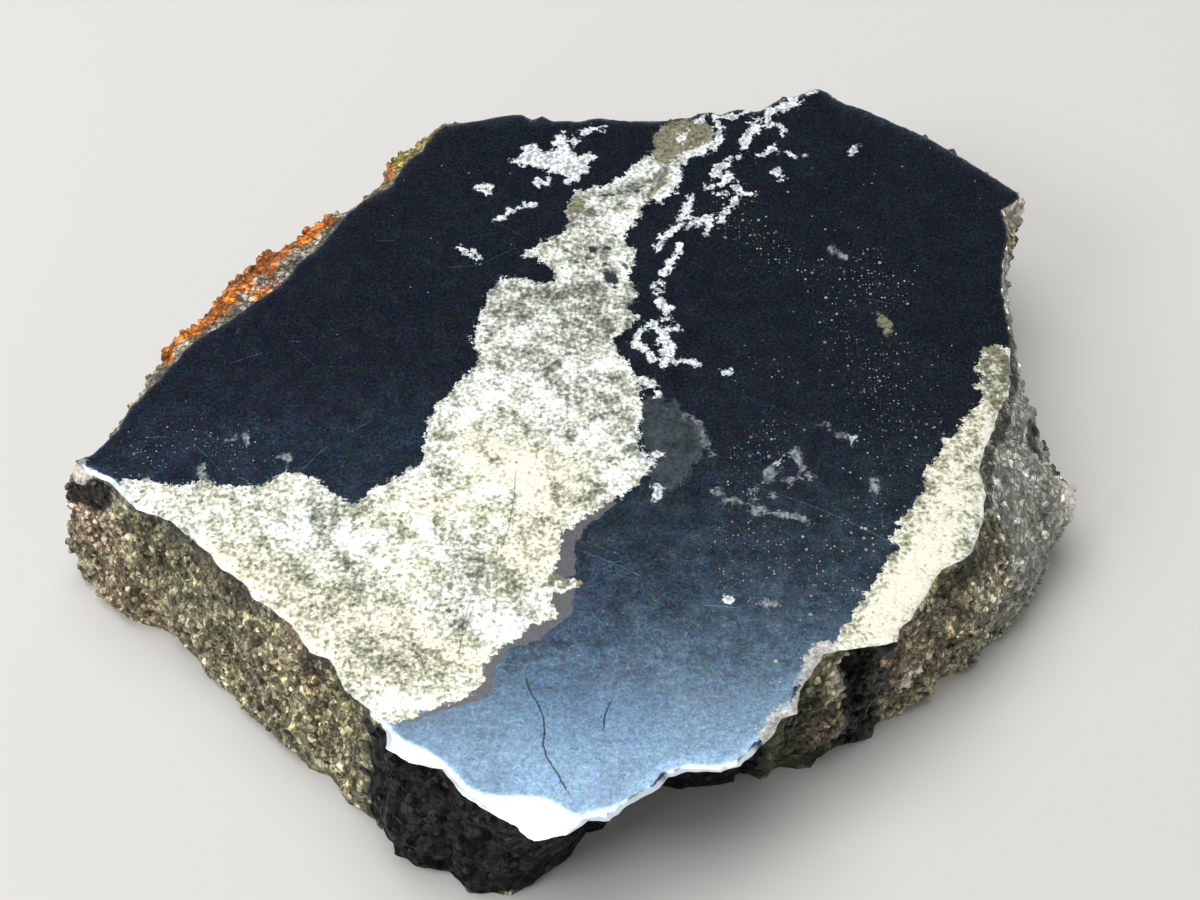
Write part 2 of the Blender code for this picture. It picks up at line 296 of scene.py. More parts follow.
# Thin pale lines along the rim, partly wear and partly painted highlights, the glints of the rim's edge.
RIM_GLINTS_AND_WEAR = (
    ((622, 808, 3), (636, 801, 4), (648, 793, 4), (660, 785, 3)),
    ((672, 774, 3), (690, 769, 4), (708, 770, 3), (726, 769, 4), (742, 763, 4), (752, 753, 3)),
    ((85, 470, 2), (100, 479, 3), (118, 490, 3)),
)
print("cracks:", len(CRACKS), "dark holes:", len(DARK_HOLES))

# %% Dusty parts, painted blue reflections and stains of the covellite
DUSTY_PARTS = (
    ((740, 210, 60), (860, 300, 150), (850, 400, 190), (800, 540, 150)),
    ((130, 440, 40), (240, 445, 50)),
)
# Painted reflection: lighter blue on the left and in front, where the lamp mirrors in the face.
BLUE_REFLECTION_STROKES = (
    ((140, 440, 60), (220, 440, 80), (330, 450, 90), (420, 420, 50)),
    ((600, 570, 40), (550, 700, 90), (640, 720, 50)),
)
STAINS = (
    ((664, 709, 5), (674, 713, 7)),
    ((700, 716, 4), (711, 713, 6)),
    ((708, 757, 4), (716, 759, 6)),
    ((648, 690, 6), (650, 697, 4)),
    ((560, 700, 5), (566, 708, 7)),
    ((530, 706, 4), (538, 716, 5)),
    ((770, 655, 4), (778, 662, 5)),
    ((589, 533, 14), (580, 553, 14), (588, 572, 12)),
    ((505, 667, 12), (528, 652, 24), (556, 646, 24), (574, 652, 16)),
    ((545, 735, 6), (548, 745, 5)),
)
print("stains:", len(STAINS))

# %% Coarse, clean and warm parts of the pyrite, and its dark spots
COARSE_PARTS = (
    ((492, 310, 16), (512, 318, 22), (535, 305, 26), (545, 318, 20)),
    ((500, 290, 20), (560, 310, 60), (590, 330, 50)),
    ((600, 400, 40), (625, 430, 30)),
    ((566, 290, 16), (602, 292, 22)),
    ((500, 345, 12), (522, 350, 12)),
    ((547, 356, 14), (555, 375, 20), (567, 402, 18)),
    ((528, 424, 10), (566, 428, 14)),
    ((574, 394, 20), (602, 396, 22)),
    ((612, 378, 22), (636, 394, 14)),
    ((612, 438, 14), (636, 452, 20)),
    ((440, 434, 10), (460, 436, 14)),
    ((556, 440, 8), (574, 437, 8)),
    ((576, 496, 14), (602, 489, 18)),
    ((495, 534, 12), (518, 536, 14)),
    ((456, 556, 22), (480, 568, 36), (508, 576, 34), (518, 592, 20)),
    ((498, 604, 16), (532, 612, 16)),
    ((456, 628, 16), (472, 636, 12)),
    ((430, 660, 26), (452, 672, 28), (468, 680, 14)),
    ((350, 638, 18), (375, 655, 28), (398, 672, 26), (420, 686, 12)),
    ((392, 596, 14), (404, 602, 12)),
    ((330, 548, 14), (345, 566, 26), (352, 592, 26)),
    ((294, 566, 16), (314, 584, 24)),
    ((296, 546, 12), (314, 551, 12)),
    ((310, 499, 14), (318, 520, 18), (322, 536, 16)),
    ((292, 606, 14), (316, 614, 18)),
    ((226, 540, 14), (242, 553, 14)),
    ((178, 482, 12), (192, 496, 16), (202, 480, 12)),
    ((384, 487, 9), (399, 488, 10)),
    ((372, 505, 14), (381, 522, 16)),
    ((580, 200, 18), (574, 222, 16), (592, 212, 16)),
    ((580, 246, 14), (600, 256, 24), (610, 276, 22)),
    ((606, 194, 12), (640, 188, 16), (655, 180, 12)),
    ((632, 284, 10), (628, 328, 16)),
    ((980, 360, 24), (1000, 370, 30), (990, 410, 14)),
    ((925, 485, 5), (905, 535, 6), (880, 590, 6)),
)
CLEAN_PARTS = (
    ((490, 440, 8), (515, 456, 20), (535, 488, 24), (548, 508, 14)),
    ((530, 380, 16), (546, 390, 16)),
    ((590, 362, 14), (616, 366, 18), (629, 371, 12)),
    ((526, 250, 10), (550, 256, 20), (568, 272, 20)),
    ((618, 224, 24), (635, 203, 16)),
    ((626, 256, 12), (622, 276, 12)),
    ((668, 192, 20), (674, 178, 14)),
    ((612, 178, 12), (640, 172, 14), (655, 166, 10)),
    ((196, 530, 12), (232, 572, 16), (262, 608, 16), (300, 640, 18), (330, 664, 14)),
    ((336, 528, 10), (352, 546, 16), (368, 560, 12)),
    ((424, 524, 12), (428, 546, 14)),
    ((411, 617, 12), (426, 634, 12)),
    ((484, 628, 16), (505, 634, 14), (519, 636, 8)),
    ((524, 562, 10), (552, 563, 12)),
    ((392, 704, 16), (432, 702, 14)),
    ((450, 488, 8), (502, 485, 14)),
    ((955, 470, 20), (945, 520, 30), (905, 590, 34), (880, 630, 30), (850, 650, 20)),
)
WARM_PARTS = (
    ((150, 490, 14), (200, 505, 30), (250, 505, 40), (292, 490, 30)),
    ((380, 510, 50), (440, 505, 60), (500, 515, 50), (522, 530, 40)),
    ((395, 560, 50), (410, 590, 50), (430, 560, 40)),
    ((220, 560, 90), (300, 600, 110), (390, 650, 130), (470, 660, 60)),
    ((520, 560, 90), (560, 480, 90), (480, 450, 80)),
    ((400, 720, 30), (450, 700, 30)),
    ((990, 380, 60), (940, 520, 90), (870, 640, 90)),
)
DARK_SPOTS = (
    ((540, 500, 5), (542, 501, 4)),
    ((479, 492, 4), (481, 493, 3)),
    ((442, 548, 4), (446, 550, 4)),
    ((400, 570, 5), (401, 571, 4)),
    ((366, 594, 5), (368, 598, 3)),
    ((374, 605, 4), (377, 609, 4)),
    ((447, 610, 5), (449, 612, 4)),
    ((424, 621, 5), (426, 624, 4)),
    ((403, 625, 6), (407, 627, 5)),
    ((443, 628, 5), (445, 631, 4)),
    ((536, 576, 6), (539, 578, 5)),
    ((556, 575, 10), (566, 577, 11)),
    ((545, 584, 6), (548, 586, 4)),
    ((526, 462, 4), (528, 463, 4)),
    ((557, 452, 5), (559, 454, 4)),
    ((487, 475, 4), (490, 477, 4)),
    ((540, 498, 5), (543, 500, 5)),
    ((503, 446, 4), (505, 447, 4)),
    ((545, 377, 8), (551, 381, 9)),
    ((526, 385, 7), (531, 388, 8)),
    ((513, 421, 6), (517, 423, 5)),
)
print("coarse parts:", len(COARSE_PARTS), "clean parts:", len(CLEAN_PARTS))

# %% [markdown]
# ## How far each place is from an edge
#
# A drawn edge would look cut with scissors, while a real one is ragged with crystals. So the mesh
# stores how deep every point lies inside a patch, in millimetres, and the material later adds
# grain to that depth before it decides which mineral it is. One number a point is enough, and
# the edge stays crisp at any size of picture.

# %% Depth inside an outline and inside a stroke
FAR = 3.0
TINY = 1e-12


def nearest_on_segments(places, starts, ends):
    """Distance from each place to each segment, and how far along the segment that is, 0 to 1."""
    along = ends - starts
    length = np.maximum((along ** 2).sum(1), TINY)
    t = ((places[:, None] - starts) * along).sum(2) / length
    t = np.clip(t, 0, 1)
    gap = places[:, None] - (starts + t[..., None] * along)
    return np.hypot(gap[..., 0], gap[..., 1]), t


def inside(places, outline):
    """Whether each place is inside the closed outline, by counting the sides to its right."""
    starts = outline
    ends = np.roll(outline, -1, axis=0)
    rising = (starts[:, 1] > places[:, 1, None]) != (ends[:, 1] > places[:, 1, None])
    rise = np.where(ends[:, 1] == starts[:, 1], TINY, ends[:, 1] - starts[:, 1])
    slope = (ends[:, 0] - starts[:, 0]) / rise
    crossing = starts[:, 0] + slope * (places[:, 1, None] - starts[:, 1])
    return (rising & (places[:, 0, None] < crossing)).sum(1) % 2 == 1


def outline_depth(places, outline):
    distance, _ = nearest_on_segments(places, outline, np.roll(outline, -1, axis=0))
    nearest = distance.min(1)
    return np.where(inside(places, outline), nearest, -nearest)


def stroke_depth(places, line, widths):
    distance, t = nearest_on_segments(places, line[:-1], line[1:])
    half = (widths[:-1] + (widths[1:] - widths[:-1]) * t) / 2
    return (half - distance).max(1)


def near_box(places, points, reach=FAR):
    low = points.min(0) - reach
    high = points.max(0) + reach
    return ((places > low) & (places < high)).all(1)


def depth_in(places, outlines=(), strokes=()):
    """The deepest of these patches at each place, in millimetres, no further out than FAR."""
    depth = np.full(len(places), -FAR)
    for pixels in outlines:
        points = on_face(pixels)
        near = near_box(places, points)
        depth[near] = np.maximum(depth[near], outline_depth(places[near], points))
    for pixels in strokes:
        points = on_face(pixels)
        widths = np.array([row[2] for row in pixels]) * PIXEL
        near = near_box(places, points, FAR + widths.max() / 2)
        depth[near] = np.maximum(depth[near], stroke_depth(places[near], points, widths))
    return np.clip(depth, -FAR, FAR)


def crack_offset(places):
    """Distance to the nearest crack, with a sign for its side, so that a thin line stays exact."""
    lines = [on_face(pixels) for pixels in CRACKS]
    starts = np.concatenate([line[:-1] for line in lines])
    ends = np.concatenate([line[1:] for line in lines])
    distance, _ = nearest_on_segments(places, starts, ends)
    nearest = distance.argmin(1)
    along = (ends - starts)[nearest]
    away = places - starts[nearest]
    side = np.sign(along[:, 0] * away[:, 1] - along[:, 1] * away[:, 0])
    return np.minimum(distance.min(1), FAR) * side


PATCHES = {
    "pyrite": dict(outlines=(MAIN_VEIN, RIGHT_VEIN)),
    "white": dict(outlines=(STAR,), strokes=WHITE_STROKES),
    "fleck_and_glint": dict(strokes=WHITE_FLECKS_AND_GLINTS),
    "pale": dict(outlines=(GREY_CORNER,)),
    "grey": dict(strokes=GREY_STROKES),
    "dull": dict(outlines=(DULL_PATCH,)),
    "beige": dict(outlines=(BEIGE_PATCH,), strokes=BEIGE_STROKES),
    "worn": dict(outlines=(WORN_EDGE + BEYOND_WORN_EDGE,), strokes=RIM_GLINTS_AND_WEAR),
    "dusty": dict(strokes=DUSTY_PARTS),
    "blue_reflection": dict(strokes=BLUE_REFLECTION_STROKES),
    "stain": dict(strokes=STAINS),
    "crack": dict(strokes=CRACKS),
    "hole": dict(strokes=DARK_HOLES),
    "coarse": dict(strokes=COARSE_PARTS),
    "clean": dict(strokes=CLEAN_PARTS),
    "warm": dict(strokes=WARM_PARTS),
    "spot": dict(strokes=DARK_SPOTS),
}
SHARP_PATCHES = ("pyrite", "white", "fleck_and_glint", "grey", "pale", "dull", "beige", "worn", "crack", "hole")
print("patches:", ", ".join(PATCHES))

# %% [markdown]
# ## The broken sides
#
# A copy of the solid gives the sides. Its flat top and underside are taken off, because they are
# laid again later with their own pattern of points. Each remaining triangle is cut into sixteen,
# the facets are eased, and then the surface is pushed in and out by rounded grains, tilted
# crystal faces and small pits. The solid's own lumps and ledges stay where they are.

# %% Take the sides from the solid and cut them finer
CUTS = 3
WELD = 1e-6
FLAT = 0.002


def sides_from_solid():
    """The sides as a bmesh in millimetres, open at the rim and at the foot."""
    shape = bmesh.new()
    shape.from_mesh(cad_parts["slab"].data)
    bmesh.ops.remove_doubles(shape, verts=shape.verts, dist=WELD)
    bmesh.ops.scale(shape, vec=(1 / MM,) * 3, verts=shape.verts)
    polished = [f for f in shape.faces if any(v.co.z > TOP - FLAT for v in f.verts)]
    sawn = [f for f in shape.faces if all(v.co.z < FLAT for v in f.verts)]
    bmesh.ops.delete(shape, geom=polished + sawn, context="FACES")
    bmesh.ops.subdivide_edges(shape, edges=shape.edges, cuts=CUTS, use_grid_fill=True)
    return shape


side_shape = sides_from_solid()
print("side triangles:", len(side_shape.faces))

# %% Ease the facets, then push the surface out into grains
EASE_ROUNDS = 5
GRAIN = 0.85
GRAIN_RELIEF = 0.20
FACE_TILT = 0.55
PIT_SIZE = 2.3
PIT_RELIEF = 0.30
CRUMB_SIZE = 0.42
CRUMB_RELIEF = 0.07
RELIEF_STARTS = 0.7
SMOOTH_FRONT = (242, 300)
SMOOTHED = 0.55
LOWEST = 0.02
FIBRE_SQUEEZE = Vector((1, 1, 0.55))


def bearing_of(place):
    return math.degrees(math.atan2(place.y, place.x)) % 360


def in_sector(bearing, start, end, soft=6.0):
    """1 inside the sector, easing to 0 within soft degrees outside it."""
    width = (end - start) % 360
    past_middle = abs((bearing - start - width / 2 + 180) % 360 - 180) - width / 2
    return min(1.0, max(0.0, 1 - past_middle / soft))


def grain_relief(place):
    """How far the broken surface stands out at this place, in millimetres."""
    stretched = place * FIBRE_SQUEEZE
    distances, centres = noise.voronoi(stretched / GRAIN)
    dome = 1 - min(1.0, distances[0]) ** 2
    tilt = noise.noise_vector(centres[0] * 3.7)
    face = tilt.dot(stretched / GRAIN - centres[0]) * FACE_TILT
    size = 0.5 + 0.5 * noise.noise(centres[0] * 5.1)
    pits = noise.fractal(place / PIT_SIZE, 0.8, 2.0, 3)
    crumbs = noise.noise(place / CRUMB_SIZE)
    return GRAIN_RELIEF * (dome * size + face) + PIT_RELIEF * pits + CRUMB_RELIEF * crumbs


def break_up(shape):
    edge = {v for e in shape.edges if e.is_boundary for v in e.verts}
    free = [v for v in shape.verts if v not in edge]
    for _ in range(EASE_ROUNDS):
        bmesh.ops.smooth_vert(shape, verts=free, factor=0.5, use_axis_x=True, use_axis_y=True,
                              use_axis_z=True)
    shape.normal_update()
    moved = {}
    for v in free:
        strength = min(1.0, (TOP - v.co.z) / RELIEF_STARTS, v.co.z / RELIEF_STARTS)
        smooth_break = 1 - SMOOTHED * in_sector(bearing_of(v.co), *SMOOTH_FRONT)
        moved[v] = v.co + v.normal * grain_relief(v.co) * max(0.0, strength) * smooth_break
    for v, place in moved.items():
        place.z = max(place.z, LOWEST)
        v.co = place
    return edge


boundary = break_up(side_shape)
print("points on the rim and the foot:", len(boundary))

# %% Follow an open edge round as one loop of points
RIM_CHIP = 0.13
RIM_CHIP_SIZE = 0.65


def edge_loop(shape, on_top):
    """The vertices of the open edge at the top or at the foot, in order, anticlockwise from above."""
    links = {}
    for e in shape.edges:
        if e.is_boundary and (e.verts[0].co.z > TOP / 2) == on_top:
            for a, b in (e.verts, reversed(e.verts)):
                links.setdefault(a, []).append(b)
    start = next(iter(links))
    loop = [start]
    came_from = None
    while True:
        onward = next(v for v in links[loop[-1]] if v != came_from)
        if onward == start:
            break
        came_from = loop[-1]
        loop.append(onward)
    area = sum(a.co.x * b.co.y - b.co.x * a.co.y for a, b in zip(loop, loop[1:] + loop[:1]))
    return loop if area > 0 else loop[::-1]


rim = edge_loop(side_shape, True)
foot = edge_loop(side_shape, False)
for v in rim:
    chip = noise.noise_vector(v.co / RIM_CHIP_SIZE) * RIM_CHIP
    v.co += Vector((chip.x, chip.y, 0))
for v in foot:
    wear = noise.noise_vector(v.co / RIM_CHIP_SIZE + Vector((5, 5, 5))) * RIM_CHIP
    v.co += Vector((wear.x, wear.y, 0))
print("rim points:", len(rim), "foot points:", len(foot))

# %% [markdown]
# ## The polished face and the underside
#
# A flat face needs points only where its minerals change, so that the depths stored on them are
# exact there. Points go down in three sizes of honeycomb, the finest along the vein edges, and a
# constrained Delaunay triangulation joins them to the rim. The saw and the polishing wheel rolled
# the front edge over a little, so the face drops towards the rim there in a smooth curve.

# %% Choose the points of the face
SPACINGS = ((0.95, 1.1, 99.0), (0.48, 0.42, 1.1), (0.23, 0.0, 0.42))
JITTER = 0.18
PLACES_AT_A_TIME = 4000


def honeycomb(spacing, low, high):
    rows = np.arange(low[1], high[1], spacing * math.sqrt(3) / 2)
    columns = np.arange(low[0], high[0], spacing)
    x, y = np.meshgrid(columns, rows)
    x = x + (np.arange(len(rows)) % 2)[:, None] * spacing / 2
    points = np.c_[x.ravel(), y.ravel()]
    return points + rng.uniform(-JITTER, JITTER, points.shape) * spacing


def gap_to_edges(places):
    gaps = [np.abs(depth_in(places, **PATCHES[name])) for name in SHARP_PATCHES]
    return np.min(gaps, axis=0)


def batches(places):
    """The places in handfuls, because each handful makes one large table."""
    return np.array_split(places, len(places) // PLACES_AT_A_TIME + 1)


def rim_gap(places, loop):
    """How far inside the rim each place is, in millimetres, and the nearest rim point's number."""
    gap, nearest = [], []
    for part in batches(places):
        distance, _ = nearest_on_segments(part, loop, np.roll(loop, -1, axis=0))
        gap.append(distance.min(1) * np.where(inside(part, loop), 1, -1))
        nearest.append(distance.argmin(1))
    return np.concatenate(gap), np.concatenate(nearest)


RIM_BAND = 0.24
LEAST_BAND = 0.85
CLOSEST = 0.45
ARRIS = 0.05
STEEPEST = 0.34
wear_line = on_face(WORN_EDGE)


def ease_the_rim():
    """Lower the rim a little all round, and nowhere by more than its worn band is wide enough for."""
    flat = np.array([v.co[:2] for v in rim])
    drop = TOP - np.array([v.co.z for v in rim])
    band = nearest_on_segments(flat, wear_line[:-1], wear_line[1:])[0].min(1)
    for _ in range(4):
        drop = np.minimum(drop, STEEPEST * band)
        drop = (np.roll(drop, 1) + 2 * drop + np.roll(drop, -1)) / 4
    for v, sunk in zip(rim, drop):
        v.co.z = TOP - sunk - ARRIS


def band_inside(loop):
    """Points that follow the loop just inside it, so that the worn edge of the face has a width."""
    along = np.roll(loop, -1, axis=0) - np.roll(loop, 1, axis=0)
    inward = np.c_[-along[:, 1], along[:, 0]] / np.hypot(along[:, 0], along[:, 1])[:, None]
    band = loop + inward * RIM_BAND
    gap, _ = rim_gap(band, loop)
    spread_out = []
    for place in band[gap > LEAST_BAND * RIM_BAND]:
        if not spread_out or np.hypot(*(np.array(spread_out) - place).T).min() > CLOSEST * RIM_BAND:
            spread_out.append(place)
    return np.array(spread_out)


ease_the_rim()
rim_places = np.array([v.co[:] for v in rim])
kept = [band_inside(rim_places[:, :2])]
for spacing, closest, furthest in SPACINGS:
    places = honeycomb(spacing, rim_places.min(0)[:2], rim_places.max(0)[:2])
    gap = gap_to_edges(places)
    places = places[(gap >= closest) & (gap < furthest)]
    clear, _ = rim_gap(places, rim_places[:, :2])
    kept.append(places[clear > RIM_BAND + CLOSEST * spacing])
face_places = np.concatenate(kept)
print("points on the face:", len(face_places), [len(k) for k in kept])

# %% Lay a flat skin inside a loop of points
SAME_PLACE = 1e-7
ROLL_WIDTH = 0.7


def skin(loop_places, inner_places):
    """Triangles that fill the loop through the inner points. The loop's own numbers come first."""
    count = len(loop_places)
    everything = [Vector(p[:2]) for p in loop_places] + [Vector(p) for p in inner_places]
    ring = [(i, (i + 1) % count) for i in range(count)]
    laid = geometry.delaunay_2d_cdt(everything, ring, [], 0, SAME_PLACE, False)
    if len(laid[0]) != len(everything):
        raise ValueError("the triangulation merged or added points")
    triangles = np.array(laid[2])
    middles = np.array([p[:] for p in laid[0]])[triangles].mean(1)
    within = np.concatenate([inside(part, loop_places[:, :2]) for part in batches(middles)])
    return triangles[within].tolist()


clear, nearest = rim_gap(face_places, rim_places[:, :2])
worn = depth_in(face_places, outlines=PATCHES["worn"]["outlines"])
from_line = nearest_on_segments(face_places, wear_line[:-1], wear_line[1:])[0].min(1)
bevel = np.where(worn > 0, from_line / (from_line + clear), 0)
soft_roll = np.where(worn > 0, 0, np.clip(1 - clear / ROLL_WIDTH, 0, 1) ** 2)
shoulder = TOP - rim_places[:, 2] - ARRIS
face_points = np.c_[face_places, TOP - shoulder[nearest] * np.maximum(bevel, soft_roll)]
face_triangles = skin(rim_places, face_places)
print("face triangles:", len(face_triangles), "deepest roll", round(float(shoulder.max()), 2), "mm")

# %% The underside
SAWN_SPACING = 1.3
foot_places = np.array([v.co[:] for v in foot])
under = honeycomb(SAWN_SPACING, foot_places.min(0)[:2], foot_places.max(0)[:2])
under_gap, _ = rim_gap(under, foot_places[:, :2])
under = under[under_gap > 0.5 * SAWN_SPACING]
under_triangles = skin(foot_places, under)
print("underside triangles:", len(under_triangles))

# %% Put the three skins together as one closed mesh
def joined_mesh():
    side_shape.verts.index_update()
    points = [v.co[:] for v in side_shape.verts]
    faces = [[v.index for v in f.verts] for f in side_shape.faces]
    for loop, inner, triangles, up in (
        (rim, face_points, face_triangles, True),
        (foot, np.c_[under, np.zeros(len(under))], under_triangles, False),
    ):
        numbers = [v.index for v in loop] + list(range(len(points), len(points) + len(inner)))
        points += [tuple(p) for p in inner]
        for triangle in triangles:
            turned = triangle if up else triangle[::-1]
            faces.append([numbers[i] for i in turned])
    mesh = bpy.data.meshes.new("covellite_slab")
    mesh.from_pydata([tuple(c * MM for c in p) for p in points], [], faces)
    mesh.validate()
    return mesh


side_count = len(side_shape.faces)
side_points = len(side_shape.verts)
slab_mesh = joined_mesh()
slab = bpy.data.objects.new("covellite_slab", slab_mesh)
bpy.context.scene.collection.objects.link(slab)
check = bmesh.new()
check.from_mesh(slab_mesh)
open_edges = sum(1 for e in check.edges if not e.is_manifold)
print("triangles:", len(slab_mesh.polygons), "open edges:", open_edges, "volume cm3:",
      round(check.calc_volume() * 1e6, 2))
check.free()

# %% [markdown]
# ## Notes for the material
#
# The mesh now gets its notes: how deep each point of the face lies in every patch, where the face
# ends, and what colour of rock the sides have there. The sides go from brown rock on the left
# through coal-black at the front to silver-grey on the right, with rust along the back left. Painted
# shade darkens a thin strip under the rim and the shaded undercut at the front.

# %% Colours of the broken sides, by sector
BROWN_ROCK = (0.30, 0.288, 0.185)
PINK_ROCK = (0.36, 0.27, 0.20)
COAL_AND_SHADE = (0.0035, 0.0035, 0.004)
OLIVE = (0.052, 0.057, 0.024)
TAN = (0.46, 0.37, 0.25)
PALE = (0.52, 0.50, 0.40)
SILVER = (0.46, 0.49, 0.46)
DARK_ROCK_AND_SHADE = (0.045, 0.044, 0.042)
PALE_STRIP = (0.26, 0.25, 0.215)
RUST = (0.52, 0.15, 0.008)
MOSS = (0.34, 0.32, 0.06)
GREEN = (0.012, 0.040, 0.022)
WHITE_CHIP = (0.86, 0.85, 0.82)
# From bearing, to bearing, from depth, to depth, how ragged in mm, colour, share
SIDE_COLOURS = (
    (36, 112, 0, 14, 1.5, DARK_ROCK_AND_SHADE, 0.9),
    (112, 172, 5, 14, 1.5, DARK_ROCK_AND_SHADE, 0.5),
    (60, 78, 3, 11, 1.8, BROWN_ROCK, 0.8),
    (90, 104, 1, 8, 1.8, SILVER, 0.4),
    (183, 193, 3, 9, 1.5, PINK_ROCK, 0.7),
    (190, 200, 9, 14, 1.0, TAN, 0.5),
    (222, 230, 0.6, 5, 1.2, TAN, 0.4),
    (196, 214, 0, 2.0, 0.8, OLIVE, 0.5),
    (228, 238, 0, 2.5, 0.8, OLIVE, 0.6),
    # Painted shade: a dark strip just under the rim on the left.
    (189, 240, 0, 0.45, 0.25, DARK_ROCK_AND_SHADE, 0.6),
    (187, 191, 0.3, 3.2, 0.5, COAL_AND_SHADE, 0.95),
    # Coal-black break at the front, carried on as painted shade into the undercut under the front right.
    (241, 302, 0, 14, 0.9, COAL_AND_SHADE, 1.0),
    (302, 318, 0, 14, 1.2, OLIVE, 0.85),
    (310.5, 314, 1, 5.5, 0.5, PALE, 0.9),
    (309, 315, 7, 10.5, 0.9, PINK_ROCK, 0.4),
    (314.5, 322.5, 0.2, 14, 0.8, COAL_AND_SHADE, 0.93),
    (320.5, 321.5, 4, 5, 0.2, TAN, 0.9),
    (322, 328, 1.2, 9, 0.9, PINK_ROCK, 0.45),
    (326, 352, 2.5, 14, 1.5, BROWN_ROCK, 0.8),
    (336, 350, 3.5, 12, 1.8, SILVER, 0.25),
    (326, 340, 4, 10, 1.2, TAN, 0.2),
    (330, 352, 0, 2.2, 0.9, OLIVE, 0.7),
    (345, 26, 0, 10, 1.2, SILVER, 0.9),
    # Painted shade: a dark strip just under the overhanging rim on the right.
    (343, 14, 0, 0.55, 0.35, DARK_ROCK_AND_SHADE, 0.85),
    (338, 348, 6, 14, 1.4, SILVER, 0.5),
    (355.5, 2, 6.0, 9.5, 0.6, PALE, 0.35),
    (359, 3, 2.6, 4.4, 0.4, GREEN, 0.95),
    (359, 4, 6.3, 8.4, 0.4, GREEN, 0.9),
    (355.5, 358.5, 6.5, 9.0, 0.3, WHITE_CHIP, 0.9),
    (324.5, 326.8, 7.6, 10.4, 0.3, WHITE_CHIP, 0.95),
    (29, 35, 0, 2.4, 0.4, WHITE_CHIP, 0.6),
    (130, 173, 0, 0.40, 0.12, PALE_STRIP, 0.95),
    (136, 166, 1.6, 4.2, 1.9, RUST, 0.9),
    (133, 170, 0.30, 2.4, 0.14, RUST, 1.0),
    (110, 127, 0.3, 2.6, 0.4, RUST, 0.75),
    (110, 119, 0.2, 1.6, 0.3, MOSS, 0.8),
    (184.5, 188.3, 0, 1.4, 0.2, WHITE_CHIP, 1.0),
)


def side_colour(place):
    """The rock's colour at this place of the sides, with ragged borders between its sectors."""
    radius = math.hypot(place.x, place.y)
    bearing = bearing_of(place)
    depth = TOP - place.z
    ragged = noise.noise_vector(place / 1.6) + noise.noise_vector(place / 0.5) * 0.5
    colour = Vector(BROWN_ROCK)
    for start, end, upper, lower, reach, paint, share in SIDE_COLOURS:
        soft = math.degrees(reach * 0.5 / radius)
        turned = bearing + math.degrees(reach * ragged.x / radius)
        sideways = in_sector(turned, start, end, soft)
        if sideways <= 0:
            continue
        sunk = depth + reach * ragged.y
        upright = min(1.0, (sunk - upper) / (reach * 0.4) + 1, (lower - sunk) / (reach * 0.4) + 1)
        colour = colour.lerp(Vector(paint), max(0.0, upright) * sideways * share)
    return colour


print("side colours:", len(SIDE_COLOURS))

# %% Write the notes on the mesh
def write_note(mesh, name, values):
    note = mesh.attributes.new(name, "FLOAT", "POINT")
    note.data.foreach_set("value", np.asarray(values, np.float32))


co = np.empty(len(slab_mesh.vertices) * 3)
slab_mesh.vertices.foreach_get("co", co)
co = co.reshape(-1, 3) / MM
on_top = np.zeros(len(co), bool)
on_top[side_points:side_points + len(face_points)] = True
on_top[[v.index for v in rim]] = True
for name, patch in PATCHES.items():
    depth = np.full(len(co), -FAR)
    depth[on_top] = depth_in(co[on_top][:, :2], **patch)
    write_note(slab_mesh, name, depth)
rim_note = np.zeros(len(co))
rim_note[side_points:side_points + len(clear)] = np.minimum(clear, FAR)
write_note(slab_mesh, "rim", rim_note)
crack_side = np.full(len(co), FAR)
crack_side[on_top] = crack_offset(co[on_top][:, :2])
write_note(slab_mesh, "crack_side", crack_side)

tints = np.ones((len(co), 4))
for i in range(side_points):
    tints[i, :3] = side_colour(Vector(co[i]))
tints[~on_top & (np.arange(len(co)) >= side_points), :3] = DARK_ROCK_AND_SHADE
rock = slab_mesh.attributes.new("rock", "FLOAT_COLOR", "POINT")
rock.data.foreach_set("color", tints.astype(np.float32).ravel())

polished = np.zeros(len(slab_mesh.polygons), np.float32)
polished[side_count:side_count + len(face_triangles)] = 1
slab_mesh.attributes.new("polished", "FLOAT", "FACE").data.foreach_set("value", polished)
print("notes:", [a.name for a in slab_mesh.attributes if not a.name.startswith(".")])

# %% [markdown]
# ## Short hands for building a material
#
# A node material is a list of boxes and wires. These helpers add one box in one line and hand
# back its output. Wires can be added and multiplied like numbers, and each such sum is a Math
# node, so that a recipe reads from top to bottom like arithmetic.

# %% Wires that add up like numbers
class Wire:
    """One output of a node. A wire with a name or a number in brackets is another output of that node."""

    def __init__(self, socket):
        self.socket = socket

    def __getitem__(self, output):
        return Wire(self.socket.node.outputs[output])

    def __add__(self, other):
        return maths("ADD", self, other)

    def __sub__(self, other):
        return maths("SUBTRACT", self, other)

    def __rsub__(self, other):
        return maths("SUBTRACT", other, self)

    def __mul__(self, other):
        return maths("MULTIPLY", self, other)

    def __pow__(self, other):
        return maths("POWER", self, other)

    def __lt__(self, other):
        return maths("LESS_THAN", self, other)

    def __gt__(self, other):
        return maths("GREATER_THAN", self, other)

    def __abs__(self):
        return maths("ABSOLUTE", self)


print("signs that wires understand: + - * ** < > abs")

# %% Add a node and wire it up
trees = []


def plug(box, inputs):
    """Put wires and constants into the inputs of a node."""
    for socket, value in dict(inputs).items():
        if isinstance(value, Wire):
            trees[-1].links.new(value.socket, box.inputs[socket])
        else:
            box.inputs[socket].default_value = value


